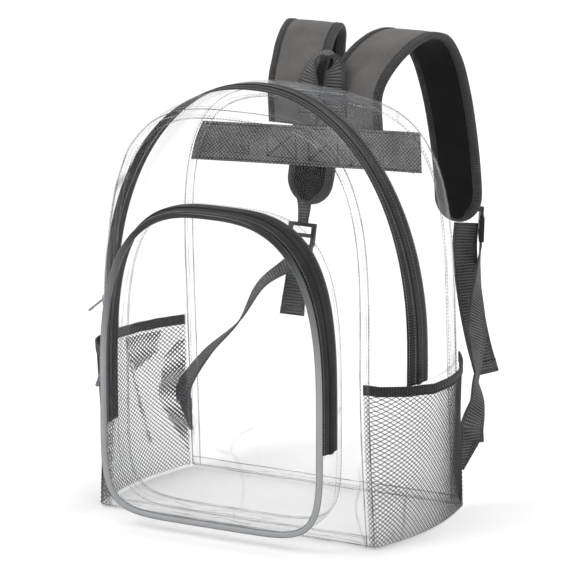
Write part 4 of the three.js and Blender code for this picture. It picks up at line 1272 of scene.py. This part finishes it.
# A shoulder pad, smooth on its outer side and softly folded on its inner one
def padPiece(name, side, solid):
    body, end = strapBody(side)
    inset = harness["rim"] * padShape["inset"]
    rows = [{**row, "width": row["width"] - 2 * inset} for row in body]
    hub = end["centre"] - end["along"] * harness["endRadius"]
    radius = harness["endRadius"] - inset
    for angle in spread(0, math.pi / 2, padShape["endSteps"]):
        rows.append({**end, "centre": hub + end["along"] * (radius * math.sin(angle)),
                     "width": max(2 * radius * math.cos(angle), 0.8)})
    columns = padShape["columns"]
    points, uvs, under = [], [], []
    for i, (run, row) in enumerate(zip(runs([row["centre"] for row in rows]), rows)):
        for way in (1, -1):
            for k in range(columns + 1):
                across = lerp(-1, 1, k / columns) * way
                crown = 1 - abs(across) ** padShape["roundness"]
                half = lerp(harness["edge"] * padShape["edgeShare"], harness["thick"] / 2, crown)
                spot = row["centre"] + row["wide"] * (across * row["width"] / 2)
                if way < 0:
                    fold = noise.noise(Vector((across * 0.9 + side * 3, run * 0.065, 2.0)))
                    fold += 0.5 * math.sin(run * 0.16 + across * 1.2)
                    start = clamp((i - padShape["foldStart"]) / padShape["foldRise"])
                    half += fold * crown * start * padShape["foldDeep"]
                else:
                    half += padShape["swell"] * noise.noise(spot * padShape["swellScale"]) * crown
                points.append(spot + row["face"] * (half * way))
                uvs.append((run, across * row["width"] / 2))
                under.append(0.0 if way > 0 else 1.0)
    mesh = meshFrom(name, points, tubeFaces(len(rows), 2 * (columns + 1)), uvs)
    # The under mark picks out the inner side, which the pad's material paints in shade
    attribute = mesh.attributes.new("under", "FLOAT", "POINT")
    attribute.data.foreach_set("value", under)
    turnOutward(mesh)
    made = dress(placeObject(name, mesh), padFabric, [solid])


def rimPath(side):
    body, end = strapBody(side)
    hub = end["centre"] - end["along"] * harness["endRadius"]
    path = []
    for row in body:
        path.append((row["centre"] - row["wide"] * (row["width"] / 2), -row["wide"], row["face"]))
    for i in range(1, 36):
        angle = math.pi * (1 - i / 36)
        out = end["wide"] * math.cos(angle) + end["along"] * math.sin(angle)
        path.append((hub + out * harness["endRadius"], out, end["face"]))
    for row in reversed(body):
        path.append((row["centre"] + row["wide"] * (row["width"] / 2), row["wide"], row["face"]))
    return path


rimHalf = harness["edge"] / 2 + 0.4
rimFoot = -harness["rim"] - 2.5
rimTop = [(rimFoot, rimHalf + 0.5), (-harness["rim"] * 0.5, rimHalf + 0.35), (-1.4, rimHalf),
          (-0.4, rimHalf * 0.62)]
rimSection = [*rimTop, (0, 0), *[(a, -b) for a, b in reversed(rimTop)], (rimFoot, -rimHalf + 0.6),
              (rimFoot, rimHalf - 0.6)]
rimStitches = []
for name, side in (("left", -1), ("right", 1)):
    padPiece(name + "StrapPad", side, "strap_pad_" + name)
    path = rimPath(side)
    sweepPiece(name + "StrapRim", path, rimSection, bindingLook, ["strap_rim_" + name])
    for way in (1, -1):
        rimStitches.append([(at - out * (harness["rim"] + 0.9) + face * (way * (rimHalf + 0.55)), face)
                            for at, out, face in path])
print("straps made")

# Hanging webbing, locks and tabs; strays are shares of the webbing's width
hangings = {
    "left": {
        "side": -1,
        "lock": {"x": -0.36, "y": 0.08, "drop": 34, "tilt": 0.25, "turn": 0, "sewn": -0.36, "neck": 0.5},
        "hem": {"x": -0.36, "y": -0.32, "drop": 84}, "tail": [(0.3, -0.13, 0.16), (0.65, -0.14, 0.18)],
        "tabReach": (-0.94, 0.34, 0),
        "climb": [(0.25, -0.32, (0.8, -0.6, 0.1)), (0.5, -0.12, (0.52, -0.82, 0.24)),
                  (0.78, -0.56, (0.8, -0.6, 0.1))],
    },
    "right": {
        "side": 1,
        "lock": {"x": 0.55, "y": 0.8, "drop": 8, "tilt": 0.05, "turn": -1.01, "sewn": 0.3, "neck": 0.9},
        "hem": {"x": 0.02, "y": 0.24, "drop": 154},
        "tail": [(0.18, -0.24, 0), (0.5, -0.32, 0), (0.77, -0.22, 0)],
        "tabReach": (0.64, 0.77, 0),
        "climb": [(0.13, 0.2, (0, 1, 0)), (0.28, 0.1, (-0.43, 0.9, 0)), (0.55, 0, (0.24, 0.97, 0)),
                  (0.8, -0.04, (-0.3, 0.95, 0))],
    },
}
hemShape = {"wider": 0.6, "thick": 4.2, "stitchLift": 2.2, "stitchReach": 0.47}
anchor = bagPoint(aroundAt(harness["anchorTop"]), 1)
webWidth = harness["webbingWidth"]
halfWeb = harness["webbing"] / 2


# A rounded copy of a moulded or cast CAD piece
def roundedCopy(name, node, look, body, width):
    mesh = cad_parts[node].data.copy()
    shell = bmesh.new()
    shell.from_mesh(mesh)
    bmesh.ops.remove_doubles(shell, verts=shell.verts, dist=2e-5)
    bmesh.ops.dissolve_limit(shell, angle_limit=0.02, verts=shell.verts, edges=shell.edges)
    shell.to_mesh(mesh)
    shell.free()
    made = placeObject(name, mesh)
    bevel = made.modifiers.new("round", "BEVEL")
    bevel.width = width * mm
    bevel.segments = 2
    bevel.limit_method = "ANGLE"
    bevel.angle_limit = math.radians(35)
    bakeModifiers(made)
    made.data.shade_smooth()
    dress(made, look, [node], body)


for name, hang in hangings.items():
    side, lock, hem = hang["side"], hang["lock"], hang["hem"]
    end = strapBody(side)[1]
    centre = end["centre"] + Vector((lock["x"] * webWidth, lock["y"] * webWidth, -lock["drop"]))
    hung = Matrix.Rotation(lock["turn"], 3, "Z") @ Matrix.Rotation(-lock["tilt"], 3, "X")
    across, down, outward3 = hung @ Vector((1, 0, 0)), hung @ Vector((0, 0, -1)), hung @ Vector((0, 1, 0))
    padFace = end["centre"] - end["along"] * (harness["endRadius"] * 0.8)
    outerSide = math.copysign(1, end["face"].y)
    padFace += end["face"] * (outerSide * (harness["thick"] / 2 + bag["gap"] + halfWeb))
    padFace.x = end["centre"].x + lock["sewn"] * webWidth
    lockTop = centre - down * (harness["lockHeight"] / 2 + bag["gap"])
    aboveLock = lockTop - down * harness["lockBar"]
    sewnEnd = padFace + end["along"] * (2 * harness["lockBar"]) + Vector((0, harness["webbing"], 0))
    halfway = padFace.lerp(aboveLock, 0.6) + Vector((0, harness["webbing"], 0))
    flap = [(padFace, 0), (sewnEnd, 0), (halfway, 0.3), (aboveLock, 1), (lockTop + down * 1.5, 1)]
    necks = [webWidth * lerp(1, lock["neck"], share) for share in (0, 0.2, 0.7, 1, 1)]
    stations = [(at, Vector((1, 0, 0)).lerp(across, t), wide) for (at, t), wide in zip(flap, necks)]
    ribbonPiece(name + "LockFlap", stations, steps["flap"], "lock_flap_" + name)
    roundedCopy(name + "LadderLock", "ladder_lock_" + name, plasticLook, "bag", 0.9)

    turned = lock["turn"] != 0
    off = harness["lockThick"] / 2 + bag["gap"] + (webWidth / 2 if turned else harness["webbing"])
    tailTop = centre + outward3 * (-off if turned else off)
    tailTop += down * (-harness["lockBar"] if turned else harness["lockHeight"] / 2 - harness["lockBar"])
    tailEnd = centre + Vector((hem["x"] * webWidth, hem["y"] * webWidth, -hem["drop"]))
    tailStart = outward3 if turned else across
    tail = [(tailTop.lerp(tailEnd, share) + Vector((x * webWidth, y * webWidth, 0)),
             tailStart.lerp(Vector((0.9, 0.43, 0)), share), webWidth)
            for share, x, y in [(0, 0, 0), *hang["tail"], (1, 0, 0)]]
    ribbonPiece(name + "StrapTail", tail, steps["tail"], "strap_tail_" + name, wave=0.9)
    rows = ribbonRows(tail, steps["tail"])[-6:]
    hemRows = [(row["centre"], row["wide"], row["face"]) for row in rows]
    sweepPiece(name + "TailHem", hemRows, tapeSection(webWidth + hemShape["wider"], hemShape["thick"]), webbingLook)
    for row in (rows[0], rows[4]):
        for way in (-1, 1):
            middle = row["centre"] + row["face"] * (hemShape["stitchLift"] * way)
            darkStitches.append([(middle + row["wide"] * (webWidth * hemShape["stitchReach"] * s), row["face"])
                                 for s in (-1, 1)])

    reach = Vector(hang["tabReach"])
    behind = filmHalf + bag["gap"] + halfWeb * abs(reach.x)
    inner = Vector((side * abs(anchor.x), anchor.y + behind, 0))
    tabRows = []
    for i in range(9):
        share = i / 8
        z = lerp(harness["anchorTop"], harness["anchorTop"] - harness["anchorHeight"], share)
        spots = [inner + reach * (part * lerp(1, 0.12, share) * webWidth) for part in spread(0, 1, 6)]
        tabRows.append([Vector((spot.x, spot.y, z)) for spot in spots])
    sheetPiece(name + "AnchorTab", tabRows, webbingLook, harness["webbing"] * 0.9, ["anchor_tab_" + name],
               (0, 0, 50))
    low = inner + reach * (0.5 * webWidth)
    low.z = harness["anchorTop"] + bag["gap"]
    high = centre + down * (harness["lockHeight"] / 2 + bag["gap"])
    aboveTab = low + Vector((0, 0, 2 * harness["lockBar"]))
    belowLock = high + down * (2 * harness["lockBar"])
    tabWide, topWide = reach * side, across * (-1 if turned else 1)
    stations = [(low - Vector((0, 0, 8)), tabWide, webWidth), (aboveTab, tabWide, webWidth)]
    for share, stray, wide in hang["climb"]:
        place = aboveTab.lerp(belowLock, share) + Vector((stray * webWidth, 0, 0))
        stations.append((place, Vector(wide), webWidth))
    stations += [(belowLock, topWide, webWidth), (high, topWide, webWidth)]
    ribbonPiece(name + "LowerStrap", stations, steps["lowerStrap"], "lower_strap_" + name)

repeatPiece("rimStitches", "stitch", rimStitches, stitchSizes["rim"], threadLook)
repeatPiece("webbingStitches", "stitch", darkStitches, stitchSizes["webbing"], threadLook)

for name, body in (("main_slider", "bag"), ("pocket_slider", "bag"), ("main_pull", "main_zip_pull"),
                   ("pocket_pull", "pocket_zip_pull")):
    words = name.split("_")
    roundedCopy(words[0] + words[1].capitalize(), name, metalLook, body, 0.45)
print("harness made")

# Camera, floor and light
view = {"azimuth": 32.37, "elevation": 14.02, "roll": 1.35, "distance": 4.902, "lens": 308.09,
        "target": (0.0, 0.0, 0.215), "right": 0.0138, "up": 0.0076}
azimuth, elevation, roll = (math.radians(view[key]) for key in ("azimuth", "elevation", "roll"))
back = Vector((math.sin(azimuth) * math.cos(elevation), -math.cos(azimuth) * math.cos(elevation),
               math.sin(elevation)))
right = Vector((math.cos(azimuth), math.sin(azimuth), 0))
up = back.cross(right)
rolledRight = right * math.cos(roll) - up * math.sin(roll)
rolledUp = right * math.sin(roll) + up * math.cos(roll)
aim = Vector(view["target"]) + rolledRight * view["right"] + rolledUp * view["up"]
cameraData = bpy.data.cameras.new("photoCamera")
cameraData.lens = view["lens"]
cameraData.sensor_width = 36
cameraData.clip_end = 50
camera = placeObject("photoCamera", cameraData)
turned = Matrix((rolledRight, rolledUp, back)).transposed().to_4x4()
turned.translation = aim + back * view["distance"]
camera.matrix_world = turned
bpy.context.scene.camera = camera

floorMesh = bpy.data.meshes.new("studioFloor")
floorHalf, floorDrop = 12, 0.0004
corners = [(x * floorHalf, y * floorHalf, -floorDrop) for x, y in ((-1, -1), (1, -1), (1, 1), (-1, 1))]
floorMesh.from_pydata(corners, [], [(0, 1, 2, 3)])
studioFloor = placeObject("studioFloor", floorMesh)
floorLook = Look("floorLook", "clear_film")
floorLook.feed(Base_Color=floorLook.mix(floorLook.noise(2.0, 2) * 0.1, (0.95, 0.95, 0.95), (0.92, 0.92, 0.92)),
               Roughness=0.9)
floorMesh.materials.append(floorLook.material)

lights = [  # name, place, size, watts
    ("keyLight", (-1.6, -2.2, 2.6), 1.6, 34),
    ("fillLight", (2.6, -1.6, 1.7), 2.0, 20),
    ("rimLight", (0.6, 2.6, 2.2), 1.8, 26),
]
for name, place, size, watts in lights:
    data = bpy.data.lights.new(name, "AREA")
    data.size = size
    data.energy = watts
    lamp = placeObject(name, data)
    lamp.location = place
    lamp.rotation_euler = (Vector((0, 0, 0.2)) - Vector(place)).to_track_quat("-Z", "Y").to_euler()
world = bpy.data.worlds.new("studio")
world.use_nodes = True
background = world.node_tree.nodes["Background"]
background.inputs["Color"].default_value = (1, 1, 1, 1)
background.inputs["Strength"].default_value = 0.95
bpy.context.scene.world = world
bpy.context.scene.view_settings.view_transform = "Standard"
bpy.context.scene.cycles.transparent_max_bounces = 48
print("studio made")
